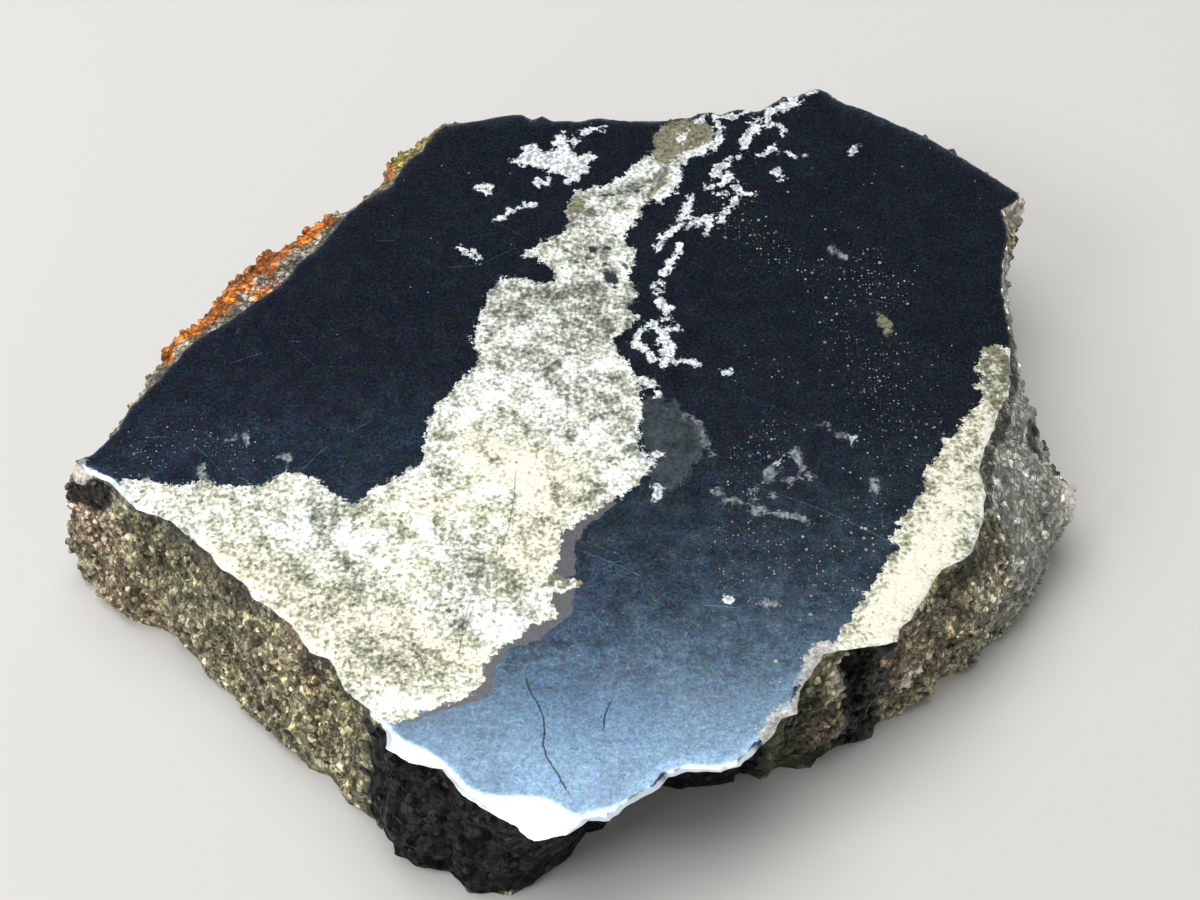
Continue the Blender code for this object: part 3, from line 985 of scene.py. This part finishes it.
def node(kind, inputs=(), **settings):
    """Add a node to the last of the trees, and hand back its first output."""
    box = trees[-1].nodes.new(kind if "Node" in kind else "ShaderNode" + kind)
    for name, value in settings.items():
        setattr(box, name, value)
    plug(box, inputs)
    return Wire(box.outputs[0])


def maths(operation, first, second=0.0):
    return node("Math", {0: first, 1: second}, operation=operation)


def highest(first, second):
    return maths("MAXIMUM", first, second)


print("trees begun:", len(trees))

# %% Vectors and scales
MIDDLE = (0.5, 0.5, 0.5)


def vectors(operation, first, second=(0, 0, 0)):
    box = node("VectorMath", {0: first, 1: second}, operation=operation)
    return box["Value" if operation == "DOT_PRODUCT" else "Vector"]


def centred(colour):
    """A random colour as a vector round zero."""
    return vectors("SUBTRACT", colour, MIDDLE)


def turned(vector, angle):
    return node("VectorRotate", {"Vector": vector, "Angle": angle}, rotation_type="Z_AXIS")


def parts(vector):
    box = node("SeparateXYZ", {0: vector})
    return box[0], box[1], box[2]


def eased(value, low, high):
    """0 below low, 1 above high, and smooth between."""
    return node("MapRange", {"Value": value, "From Min": low, "From Max": high},
                interpolation_type="SMOOTHSTEP")["Result"]


def spread(value, low, high, to_low, to_high):
    """Straight from one range to another, and level beyond its ends."""
    return node("MapRange", {"Value": value, "From Min": low, "From Max": high,
                             "To Min": to_low, "To Max": to_high})["Result"]


def between(share, first, second):
    return node("Mix", {0: share, 2: first, 3: second}, data_type="FLOAT")


print("middle of a random colour:", MIDDLE)

# %% Places, noise, cells and notes
def millimetres():
    """The place on the object in millimetres, so that sizes read as on a ruler."""
    return node("Mapping", {"Vector": node("TexCoord")["Object"], "Scale": (1 / MM,) * 3})


def grain(place, size, detail=2.0, roughness=0.5):
    """Soft noise, about 0.5 on average, with features of this size in millimetres."""
    return node("TexNoise", {"Vector": place, "Scale": 1 / size, "Detail": detail,
                             "Roughness": roughness})["Fac"]


def cells(place, size, **settings):
    """Space in pieces of about this size, each with a random colour and its middle's position."""
    return node("TexVoronoi", {"Vector": place, "Scale": 1 / size}, **settings)


def noted(name, output="Fac"):
    """What a note on the mesh says here."""
    return node("Attribute", attribute_name=name)[output]


print("one unit in a recipe:", MM, "m")

# %% Colours
def mixed(share, first, second, blend_type="MIX"):
    """One colour laid over another by a share from 0 to 1."""
    first, second = (c if isinstance(c, Wire) else (*c, 1) for c in (first, second))
    return node("Mix", {0: share, 6: first, 7: second}, data_type="RGBA", blend_type=blend_type)[2]


def shaded(colour, shade):
    """A colour made darker or lighter by a number."""
    return mixed(1.0, colour, node("CombineXYZ", {0: shade, 1: shade, 2: shade}), "MULTIPLY")


def ramp(value, *stops):
    """A colour looked up on a scale of (place, colour) stops."""
    box = node("ValToRGB", {"Fac": value})
    scale = box.socket.node.color_ramp.elements
    for position, _ in stops[2:]:
        scale.new(position)
    for element, (position, colour) in zip(scale, sorted(stops)):
        element.position = position
        element.color = (*colour, 1)
    return box["Color"]


def new_material(name):
    """A material whose tree the helpers add to from now on."""
    material = bpy.data.materials.new(name)
    material.use_nodes = True
    trees.append(material.node_tree)
    return material


def finished(material, colour, metal, rough, shine, relief, strength):
    """The material, with a recipe's results plugged into its shader."""
    bump = node("Bump", {"Height": relief, "Strength": strength, "Distance": MM})
    plug(material.node_tree.nodes["Principled BSDF"], {
        "Base Color": colour, "Metallic": metal, "Roughness": rough, "Specular IOR Level": shine,
        "Normal": bump})
    return material


print("helpers ready")

# %% [markdown]
# ## The slab's one material
#
# Covellite is a soft metallic blue mineral, so its colour is the colour of its reflections: it is
# nearly black where it mirrors the dark of the room and blue where it mirrors a lamp. Its base colour
# is also painted lighter blue in front and in patches, a painted reflection of the lamp. Pyrite here
# is sugary, so it scatters light and looks cream from anywhere. Both live in one shader, and each
# patch's depth, made ragged with noise, decides between them.

# %% Scratches and dust specks
def scratches(place, spacing, length, width, angle, fan, keep):
    """Single thin marks, 1 on a mark. Each cell of the stone has one or none, at its own angle."""
    box = cells(place, spacing, voronoi_dimensions="2D")
    middle = vectors("SUBTRACT", place, box["Position"])
    luck = parts(box["Color"])
    laid = turned(middle, spread(luck[0], 0, 1, angle - fan, angle + fan))
    along, across, _ = parts(laid)
    bow = along * along * 0.012
    thin = 1.0 - eased(abs(across + bow), width * 0.2, width * 0.5)
    short = abs(along) < luck[1] * (length / 2)
    there = luck[2] < keep
    return thin * short * there


def dust_specks(place, spacing, size, keep):
    """Tiny round mineral specks, crowded in some places and missing in others."""
    box = cells(place, spacing, voronoi_dimensions="2D")
    luck = parts(box["Color"])
    crowd = eased(grain(place, 7.0, 1.0), 0.40, 0.65)
    there = luck[0] > 1.0 - crowd * keep
    radius = (luck[1] ** 2.5 + 0.35) * (size / spacing)
    dot = box["Distance"] < radius
    return dot * there * spread(luck[2], 0, 1, 0.30, 1)


print("a scratch or a speck takes one cell")

# %% The blue of the covellite
FRONT_BLUE_AND_REFLECTION = (0.109, 0.175, 0.244)
BACK_BLUE = (0.047, 0.072, 0.104)
REFLECTION_BLUE = (0.085, 0.158, 0.248)
VIOLET = (0.070, 0.060, 0.130)
INDIGO = (0.062, 0.084, 0.150)
GREY_MOTTLE = (0.036, 0.048, 0.052)
DARK_VIOLET = (0.052, 0.040, 0.080)


def blue_black(place, mottle):
    """Bluest in front, partly its own tone and partly a painted reflection of the lamp, with a violet cast on
    the left and in patches, lighter blue painted reflections on the left and in front, and a fine grain of
    tones.
    """
    east, north, _ = parts(place)
    cloud = grain(place, 14.0, 3.0, 0.55) * 10.0
    towards_back = north + east * 0.12 + cloud
    # Painted reflection: lighter blue in front and darker at the back, partly the mineral's own tone and
    # partly the lamp's reflection painted into the base colour.
    colour = mixed(eased(towards_back, -20.0, 12.0), FRONT_BLUE_AND_REFLECTION, BACK_BLUE)
    # Painted reflection: lighter blue patches where the lamp mirrors in the face.
    blue_reflection = eased(noted("blue_reflection") + cloud * 0.2, -1.5, 3.5)
    colour = mixed(blue_reflection * 0.55, colour, REFLECTION_BLUE)
    violet = eased(grain(place, 9.0, 2.0, 0.5), 0.50, 0.70) * spread(east, -22.0, 2.0, 0.55, 0.15)
    colour = mixed(violet, colour, VIOLET)
    colour = mixed(spread(east, -30.0, 0.0, 0.45, 0.0), colour, INDIGO)
    colour = mixed(spread(mottle, 0.38, 0.68, 0.0, 0.5), colour, GREY_MOTTLE)
    tone = (grain(place, 0.20, 4.0, 0.75) - 0.5) * spread(north, -24.0, 0.0, 1.6, 5.0)
    haze = grain(place, 3.0, 4.0, 0.6) - 0.5
    colour = shaded(colour, highest(tone + haze * 0.8 + 1.0, 0.3))
    dots = cells(place, 0.17, voronoi_dimensions="2D")["Color"]
    dots = vectors("ADD", vectors("MULTIPLY", dots, (1.1, 1.1, 1.1)), (0.45, 0.45, 0.45))
    colour = mixed(spread(north, -24.0, -4.0, 0.22, 0.75), colour, mixed(1.0, colour, dots, "MULTIPLY"))
    patchy = grain(place, 1.3, 3.0, 0.6)
    violet = spread(patchy, 0.45, 0.65, 0.0, 0.45) * spread(north, -18, 0, 0.2, 1)
    return mixed(violet, colour, DARK_VIOLET)


print("blue in front", FRONT_BLUE_AND_REFLECTION, "and at the back", BACK_BLUE)

# %% What marks the covellite
POCK = (0.016, 0.020, 0.024)
STAIN = (0.034, 0.028, 0.026)
SCRATCH = (0.30, 0.36, 0.42)
DUST_GOLD = (0.44, 0.41, 0.33)


def covellite(place):
    """Colour, roughness and relief of the polished blue mineral, and where its specks are."""
    mottle = grain(place, 0.50, 4.0, 0.7)
    colour = blue_black(place, mottle)
    pock = eased(grain(place, 0.30, 4.0, 0.75), 0.60, 0.66)
    colour = mixed(pock * 0.65, colour, POCK)
    stain = eased(noted("stain") + mottle * 0.8, 0.30, 0.7)
    stain = stain * eased(grain(place, 0.33, 3.0, 0.7), 0.42, 0.56)
    colour = mixed(stain * 0.5, colour, STAIN)
    marks = highest(scratches(place, 9.0, 13.0, 0.05, 0.9, 0.6, 0.35) * 0.6,
                    scratches(place, 3.1, 3.6, 0.045, 0.4, 1.5, 0.28))
    colour = mixed(marks * 0.08, colour, SCRATCH)
    dusty = spread(eased(noted("dusty"), -2.8, 3.0), 0, 1, 0.02, 1.0)
    gold = highest(dust_specks(place, 0.27, 0.062, dusty * 0.36),
                   dust_specks(turned(place, 0.6), 0.75, 0.095, dusty))
    colour = mixed(gold, colour, DUST_GOLD)
    rough = spread(grain(place, 1.4, 4.0, 0.6), 0.3, 0.7, 0.12, 0.20)
    return colour, rough, mottle * 0.003 - marks * 0.002, gold


print("specks of the covellite:", DUST_GOLD)

# %% The pyrite
WHITE = (1.0, 1.0, 1.0)
CREAM = (0.83, 0.81, 0.67)
PALE_CREAM = (0.85, 0.87, 0.84)
RUSTY_CREAM = (0.80, 0.66, 0.42)
SAND = (0.60, 0.62, 0.54)
GREY_SPECK = (0.30, 0.32, 0.27)
DARK_SPECK = (0.09, 0.10, 0.09)
BROWN_SPOT = (0.085, 0.075, 0.062)


def pyrite(place):
    """Colour, roughness and relief of the sugary vein, with dark specks of gangue between its grains."""
    coarse = eased(noted("coarse"), -0.5, 0.5)
    clean = eased(noted("clean"), -0.5, 0.5)
    fine = grain(place, 0.32, 3.0, 0.7) * 0.84 + 0.092
    cluster = grain(place, 1.1, 3.0, 0.6) - 0.5
    broad = grain(place, 3.2, 2.0, 0.5) - 0.5
    _, north, _ = parts(place)
    level = fine + cluster * spread(north, -22.0, -6.0, 0.28, 0.52)
    level = level + eased(north, 2.0, 9.0) * 0.035 + broad * 0.27
    level = level + coarse * 0.085 - clean * 0.085
    warm = noted("warm") + cluster * 6.0
    bright = mixed(eased(warm, -1.6, 2.2), PALE_CREAM, CREAM)
    rusty = eased(grain(place, 1.6, 4.0, 0.7), 0.60, 0.68)
    bright = mixed(rusty * 0.35, bright, RUSTY_CREAM)
    depth_of_tone = ramp(level, (0.47, WHITE), (0.555, SAND), (0.635, GREY_SPECK), (0.74, DARK_SPECK))
    colour = mixed(1.0, bright, depth_of_tone, "MULTIPLY")
    sugar = cells(place, 0.24)["Color"]
    colour = shaded(colour, spread(parts(sugar)[0], 0, 1, 0.88, 1.04))
    spot = eased(noted("spot") + fine * 0.6, 0.22, 0.38)
    spot = highest(spot, dust_specks(place, 0.9, 0.17, 0.45))
    colour = mixed(spot * 0.75, colour, BROWN_SPOT)
    return colour, spread(fine, 0.3, 0.7, 0.34, 0.6), level * -0.05


print("pyrite from", PALE_CREAM, "to", CREAM)

# %% The rough rock of the sides
CRYSTAL = 0.50
CRUMB = 0.21
SEAM_WIDTH = 0.09
COAL_SHEEN = (0.030, 0.034, 0.040)
WARM_CRYSTAL = (1.22, 0.98, 0.66)


def broken_rock(place):
    """Colour, roughness, relief and shine of the unpolished sides and underside, all little tilted faces."""
    tint = noted("rock", "Color")
    drift = node("TexNoise", {"Vector": place, "Scale": 0.5, "Detail": 1.0})["Color"]
    drift = vectors("MULTIPLY", centred(drift), (0.3, 0.3, 0.3))
    laid = vectors("ADD", vectors("MULTIPLY", place, (1, 1, 0.62)), drift)
    big = cells(laid, CRYSTAL)
    small = cells(laid, CRUMB)
    luck = parts(big["Color"])
    small_luck = parts(small["Color"])
    shade = spread(luck[0] ** 2.0, 0, 1, 0.42, 2.1) * spread(small_luck[0] ** 1.6, 0, 1, 0.45, 2.0)
    green = parts(tint)[1]
    pale = eased(green, 0.60, 0.80)
    shade = between(eased(green, 0.36, 0.46) * 0.45, shade, 1.0)
    dark = 1.0 - eased(green, 0.004, 0.03)
    tint = mixed(dark * small_luck[0] ** 5.0 * 0.35, tint, COAL_SHEEN)
    broad = spread(grain(place, 4.5, 3.0, 0.55), 0.36, 0.64, 0.70, 1.32)
    colour = shaded(tint, between(pale, shade * broad, 1.05))
    colour = mixed(luck[1] * 0.40, colour, mixed(1.0, colour, WARM_CRYSTAL, "MULTIPLY"))
    dirt = eased(grain(place, 1.9, 5.0, 0.65), 0.50, 0.64) * spread(pale, 0, 1, 0.62, 0.0)
    colour = mixed(dirt, colour, shaded(tint, 0.22))
    seam = cells(laid, CRYSTAL, feature="DISTANCE_TO_EDGE")
    in_seam = 1.0 - eased(seam["Distance"], 0.0, SEAM_WIDTH)
    colour = mixed(in_seam * spread(pale, 0, 1, 0.55, 0.15), colour, shaded(tint, 0.10))
    tilt, small_tilt = (
        vectors("DOT_PRODUCT", vectors("SUBTRACT", laid, size["Position"]), centred(size["Color"]))
        for size in (big, small))
    relief = tilt * 0.9 + small_tilt * 1.1 - in_seam * 0.05
    rough = between(dark, spread(small_luck[1], 0, 1, 0.75, 0.34), spread(luck[1], 0, 1, 0.95, 0.5))
    return colour, rough, relief, between(dark, 0.5, spread(luck[0], 0.2, 1, 0.12, 0.45))


print("crystals of", CRYSTAL, "mm and crumbs of", CRUMB, "mm")

# %% Minerals that hide one another
QUARTZ = (0.80, 0.84, 0.85)
CLOUDY_QUARTZ = (0.27, 0.31, 0.31)
FLECK_AND_GLINT = (0.62, 0.63, 0.64)
THIN_FLECK_AND_GLINT = (0.16, 0.19, 0.22)
MARGIN_GREY = (0.078, 0.078, 0.086)
PALE_MARGIN = (0.38, 0.37, 0.34)
GANGUE = (0.023, 0.030, 0.031)
BEIGE = (0.120, 0.114, 0.070)


def patch(name, raggedness, soft):
    """1 inside this patch of the face and 0 outside it, with a ragged edge."""
    return eased(noted(name) + raggedness, -soft, soft)


def layered_minerals(place, ragged, wobble, loose_wobble, blotch, cloud):
    """Colour, metal, roughness, relief and shine, from the covellite up to the quartz."""
    colour, rough, relief, specks = covellite(place)
    cream, cream_rough, cream_relief = pyrite(place)
    cloudy = eased(cloud + ragged * 0.5, 0.44, 0.62)
    # Loose white flecks, with painted highlight lines among them.
    fleck_and_glint = patch("fleck_and_glint", loose_wobble, 0.22) * 0.68
    colour = mixed(fleck_and_glint, colour, mixed(cloudy, FLECK_AND_GLINT, THIN_FLECK_AND_GLINT))
    metal = between(highest(fleck_and_glint, specks), 0.92, 0.1)
    for name, raggedness, soft, tone, light, low in (
        ("grey", wobble * 0.5, 0.06, MARGIN_GREY, 1.3, 0.7),
        ("pale", wobble, 0.12, PALE_MARGIN, 1.9, 0.35),
        ("dull", loose_wobble, 0.22, GANGUE, 2.6, 0.2),
        ("pyrite", wobble, 0.05, None, 1, 1),
        ("beige", loose_wobble, 0.16, BEIGE, 2.8, 0.2),
    ):
        share = patch(name, raggedness, soft)
        if name == "dull":
            share = share * spread(blotch, -0.15, 0.15, 0.95, 0.7)
        if name == "pyrite":
            colour = mixed(share, colour, cream)
            metal = between(share, metal, 0.25)
            rough = between(share, rough, cream_rough)
            relief = between(share, relief, cream_relief + 0.03)
        else:
            mineral = shaded(tone, spread(cloud, 0.3, 0.7, light, low))
            if name == "dull":
                shine = between(share, 0.5, 0.1)
                mineral = shaded(mineral, spread(blotch, -0.18, 0.18, 0.45, 1.5))
            colour = mixed(share * 0.95, colour, mineral)
            metal = between(share, metal, 0.0 if name == "dull" else 0.2)
            rough = between(share, rough, 0.35)
    white = patch("white", loose_wobble + 0.05, 0.10)
    colour = mixed(white, colour, mixed(cloudy, QUARTZ, CLOUDY_QUARTZ))
    return colour, between(white, metal, 0.0), between(white, rough, 0.4), relief, shine


print("quartz from", QUARTZ, "to", CLOUDY_QUARTZ)

# %% Wear, holes and cracks on top
WORN_BLUE_AND_GLARE = (0.52, 0.60, 0.66)
RUBBED_RIM = (0.42, 0.44, 0.46)
RIM_HIGHLIGHT = (0.66, 0.74, 0.80)
HOLLOW = (0.006, 0.014, 0.018)
CRACK_DARK = (0.020, 0.022, 0.028)


def face_minerals(place):
    """Colour, metal, roughness, relief and shine of the whole polished face."""
    ragged = grain(place, 0.55, 4.0, 0.65) - 0.5
    feather = grain(place, 0.18, 3.0, 0.65) - 0.5
    blotch = grain(place, 1.0, 3.0, 0.6) - 0.5
    cloud = grain(place, 0.32, 4.0, 0.7)
    wobble = ragged * 2.0 + feather * 0.4
    colour, metal, rough, relief, shine = layered_minerals(
        place, ragged, wobble, wobble + blotch * 1.7, blotch, cloud)

    # Worn front band and rim lines, painted pale so that the lamp's glare on them turns white: wear and
    # painted highlight.
    worn = patch("worn", feather * 0.25, 0.42)
    colour = mixed(worn * spread(cloud, 0.35, 0.65, 0.95, 0.6), colour, WORN_BLUE_AND_GLARE)
    near_rim = noted("rim") + blotch * 0.5
    rubbed = 1.0 - eased(near_rim, 0.0, RIM_BAND)
    colour = mixed(rubbed * 0.22, colour, RUBBED_RIM)
    # Painted highlight: a pale line right at the rim, near the worn front.
    at_rim = 1.0 - eased(near_rim, RIM_BAND, RIM_BAND + 0.18)
    rim_highlight = at_rim * eased(noted("worn"), -0.9, 0.0)
    colour = mixed(rim_highlight * 0.85, colour, RIM_HIGHLIGHT)
    metal = between(rim_highlight, metal, 0.2)

    hole = patch("hole", feather * 0.5, 0.07)
    colour = mixed(hole, colour, HOLLOW)
    from_crack = abs(noted("crack_side") + ragged * 0.25)
    thickness = spread(cloud, 0.35, 0.65, 0.010, 0.050)
    crack = 1.0 - eased(from_crack - thickness, -0.02, 0.03)
    crack = crack * eased(noted("crack"), -0.5, -0.2)
    faint = spread(patch("pyrite", wobble, 0.3), 0, 1, 0.62, 0.36)
    colour = mixed(crack * faint, colour, CRACK_DARK)
    return colour, metal, rough, relief - highest(crack, hole) * 0.04, shine


print("worn rim", WORN_BLUE_AND_GLARE, "and cracks", CRACK_DARK)

# %% One material for the whole slab
SHARP_ANGLE = math.radians(48)


def slab_material():
    material = new_material("covellite and pyrite")
    place = millimetres()
    face, metal, face_rough, face_relief, face_shine = face_minerals(place)
    rock, rock_rough, rock_relief, rock_shine = broken_rock(place)
    polished = eased(noted("polished"), 0.45, 0.55)
    return finished(
        material, mixed(polished, rock, face), polished * metal, between(polished, rock_rough, face_rough),
        between(polished, rock_shine, face_shine), between(polished, rock_relief, face_relief), 1.0)


slab_mesh.materials.append(slab_material())
slab_mesh.shade_smooth()
slab_mesh.set_sharp_from_angle(angle=SHARP_ANGLE)
sawn_edges = {tuple(sorted(pair)) for loop in (rim, foot)
              for pair in zip([v.index for v in loop], [v.index for v in loop[1:] + loop[:1]])}
sharp = slab_mesh.attributes["sharp_edge"].data
for edge in slab_mesh.edges:
    if tuple(sorted(edge.vertices)) in sawn_edges:
        sharp[edge.index].value = True
print("material nodes:", len(slab_mesh.materials[0].node_tree.nodes))

# %% [markdown]
# ## Loose grains on the broken sides
#
# Broken ore is rough because single crystals stand proud of it. Thousands of them repeat one idea:
# a small blunt crystal, half sunk, turned and stretched at random. Geometry Nodes scatters one
# many-sided ball over a copy of the sides, never closer than a set gap, then shifts its corners
# with noise so that no two stay alike. They keep clear of the polished edge and of the floor, and
# are rare on the smooth black front and thin on the silvery right side.

# %% The skin that the grains sit on
KEEP_FROM_TOP = 0.75
KEEP_FROM_FLOOR = 0.95
RARE_ON_BLACK = 0.92
THIN_ON_SILVER = 0.6


def grain_bed():
    """A copy of the side's faces with the rock's colour and how many grains each point may bear."""
    count = side_points
    faces = [tuple(f.vertices) for f in slab_mesh.polygons[:side_count]]
    mesh = bpy.data.meshes.new("side_grains")
    mesh.from_pydata([tuple(p * MM) for p in co[:count]], [], faces)
    colour = mesh.attributes.new("rock", "FLOAT_COLOR", "POINT")
    colour.data.foreach_set("color", tints[:count].astype(np.float32).ravel())
    crowd = np.ones(count)
    for i in range(count):
        bearing = bearing_of(Vector(co[i]))
        crowd[i] -= RARE_ON_BLACK * in_sector(bearing, 240, 303, 2)
        crowd[i] -= THIN_ON_SILVER * in_sector(bearing, 347, 25, 3)
    crowd[(co[:count, 2] > TOP - KEEP_FROM_TOP) | (co[:count, 2] < KEEP_FROM_FLOOR)] = 0
    write_note(mesh, "crowd", crowd)
    bed = bpy.data.objects.new("side_grains", mesh)
    bpy.context.scene.collection.objects.link(bed)
    return bed


side_grains = grain_bed()
print("bed for the grains:", len(side_grains.data.polygons), "triangles")

# %% The scattering tree
GRAIN_GAP = 0.50
GRAINS_PER_MM2 = 3.0
SMALLEST = 0.22
LARGEST = 0.50
GRAIN_SEED = 11
CORNER_SHIFT = 0.13
FULL_TURN = (6.283, 6.283, 6.283)


def chance(low, high, seed):
    """A random number or vector for each point."""
    if isinstance(high, tuple):
        return node("FunctionNodeRandomValue", {0: low, 1: high, "Seed": seed}, data_type="FLOAT_VECTOR")
    return node("FunctionNodeRandomValue", {2: low, 3: high, "Seed": seed}, data_type="FLOAT")[1]


def scaled(vector, amount):
    return node("VectorMath", {0: vector, "Scale": amount}, operation="SCALE")


def scatter_tree(rock_material):
    """Geometry nodes: a crystal on every scattered point, real geometry at the end."""
    tree = bpy.data.node_groups.new("side grains", "GeometryNodeTree")
    trees.append(tree)
    tree.interface.new_socket("Geometry", in_out="INPUT", socket_type="NodeSocketGeometry")
    for name, kind, value in (
        ("Gap", "Float", GRAIN_GAP * MM), ("Density", "Float", GRAINS_PER_MM2 / MM ** 2),
        ("Seed", "Int", GRAIN_SEED), ("Smallest", "Float", SMALLEST * MM),
        ("Largest", "Float", LARGEST * MM), ("Corner shift", "Float", CORNER_SHIFT * MM),
    ):
        tree.interface.new_socket(name, in_out="INPUT", socket_type="NodeSocket" + kind).default_value = value
    tree.interface.new_socket("Geometry", in_out="OUTPUT", socket_type="NodeSocketGeometry")

    given = node("NodeGroupInput")
    crowd = node("GeometryNodeInputNamedAttribute", {"Name": "crowd"}, data_type="FLOAT")
    points = node("GeometryNodeDistributePointsOnFaces",
                  {"Mesh": given["Geometry"], "Distance Min": given["Gap"], "Density Max": given["Density"],
                   "Density Factor": crowd, "Seed": given["Seed"]}, distribute_method="POISSON")
    crystal = node("GeometryNodeMeshIcoSphere", {"Radius": 1.0, "Subdivisions": 1})
    size = chance(given["Smallest"], given["Largest"], given["Seed"])
    stretch = chance((0.7, 0.7, 0.6), (1.35, 1.0, 1.0), given["Seed"])
    placed = node("GeometryNodeInstanceOnPoints",
                  {"Points": points, "Instance": crystal, "Rotation": chance((0, 0, 0), FULL_TURN, 3),
                   "Scale": scaled(stretch, size)})
    marked = node("GeometryNodeStoreNamedAttribute",
                  {"Geometry": placed, "Name": "luck", "Value": chance(0.0, 1.0, 5)},
                  data_type="FLOAT", domain="INSTANCE")
    real = node("GeometryNodeRealizeInstances", {"Geometry": marked})
    wander = node("TexNoise", {"Scale": 1 / (0.35 * MM), "Detail": 1.0})["Color"]
    shift = scaled(scaled(centred(wander), given["Corner shift"]), 2.0)
    moved = node("GeometryNodeSetPosition", {"Geometry": real, "Offset": shift})
    flat = node("GeometryNodeSetShadeSmooth", {"Geometry": moved, "Shade Smooth": False})
    dressed = node("GeometryNodeSetMaterial", {"Geometry": flat, "Material": rock_material})
    tree.links.new(dressed.socket, tree.nodes.new("NodeGroupOutput").inputs[0])
    return tree


print("a grain is", SMALLEST, "to", LARGEST, "mm in radius")

# %% Scatter the grains and keep them as a mesh
CRYSTAL_FACES = 20


def grain_material():
    """The sides' own rock, with each grain a little lighter or darker than its neighbours."""
    material = new_material("rock grains")
    colour, _, relief, shine = broken_rock(millimetres())
    own = noted("luck")
    shade = spread(own ** 1.8, 0, 1, 0.65, 1.85)
    rough = spread(own, 0, 1, 0.7, 0.3)
    return finished(material, shaded(colour, shade), 0.0, rough, shine, relief, 0.5)


def realized(piece, tree):
    """Run the tree once and keep its result as the piece's own mesh."""
    modifier = piece.modifiers.new("scatter", "NODES")
    modifier.node_group = tree
    for item in tree.interface.items_tree:
        if item.in_out == "INPUT" and item.socket_type != "NodeSocketGeometry":
            modifier[item.identifier] = item.default_value
    graph = bpy.context.evaluated_depsgraph_get()
    mesh = bpy.data.meshes.new_from_object(piece.evaluated_get(graph))
    piece.modifiers.remove(modifier)
    piece.data = mesh


realized(side_grains, scatter_tree(grain_material()))
grain_faces = len(side_grains.data.polygons)
print("grains:", grain_faces // CRYSTAL_FACES, "triangles:", grain_faces,
      "notes:", [a.name for a in side_grains.data.attributes if not a.name.startswith(".")])

# %% [markdown]
# ## Floor and light
#
# The slab lies on a plain pale floor. One large soft lamp hangs above it, a little to the left and
# towards the back. The front of the face mirrors the near rim of that lamp, which turns the
# covellite blue there, and the rolled front edge mirrors the lamp itself, which turns it white.

# %% Floor
FLOOR_SIZE = 1.6
FLOOR_COLOUR = (0.62, 0.61, 0.59)
FLOOR_ROUGHNESS = 0.8


def make_floor():
    shape = bmesh.new()
    bmesh.ops.create_grid(shape, x_segments=1, y_segments=1, size=FLOOR_SIZE / 2)
    mesh = bpy.data.meshes.new("floor")
    shape.to_mesh(mesh)
    shape.free()
    material = new_material("pale floor")
    plug(material.node_tree.nodes["Principled BSDF"], {
        "Base Color": (*FLOOR_COLOUR, 1), "Roughness": FLOOR_ROUGHNESS})
    mesh.materials.append(material)
    floor = bpy.data.objects.new("floor", mesh)
    bpy.context.scene.collection.objects.link(floor)
    return floor


make_floor()
print("floor", FLOOR_SIZE, "m")

# %% Lamps and the room around
def area_lamp(name, place, aim, size, radiance):
    """A rectangular lamp whose face has this radiance, whatever its size."""
    light = bpy.data.lights.new(name, "AREA")
    light.shape = "RECTANGLE"
    light.size, light.size_y = size
    light.energy = radiance * math.pi * size[0] * size[1]
    lamp = bpy.data.objects.new(name, light)
    lamp.location = place
    lamp.rotation_euler = (Vector(aim) - Vector(place)).to_track_quat("-Z", "Y").to_euler()
    bpy.context.scene.collection.objects.link(lamp)
    return lamp


area_lamp("soft box", (-0.08, 0.05, 0.5), (-0.08, 0.05, 0), (0.40, 0.40), 5.0)
area_lamp("fill", (-0.36, -0.22, 0.40), (0, 0, 0), (0.22, 0.22), 7.0)


def room(wall, ceiling):
    """The light of the walls and of the ceiling, which the polish mirrors."""
    world = bpy.data.worlds.new("room")
    world.use_nodes = True
    trees.append(world.node_tree)
    height = parts(node("TexCoord")["Generated"])[2]
    light = mixed(eased(height, 0.35, 0.75), (wall,) * 3, (ceiling,) * 3)
    plug(world.node_tree.nodes["Background"], {"Color": light})
    bpy.context.scene.world = world


room(0.55, 0.13)
bpy.context.scene.view_settings.view_transform = "Standard"

# %% [markdown]
# ## Finish
#
# The dressed slab stands for the imported one and rides on its body.

# %% Hide the imported slab and hang the pieces on its body
for piece in (slab, side_grains):
    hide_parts("slab")
    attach(piece, "root")
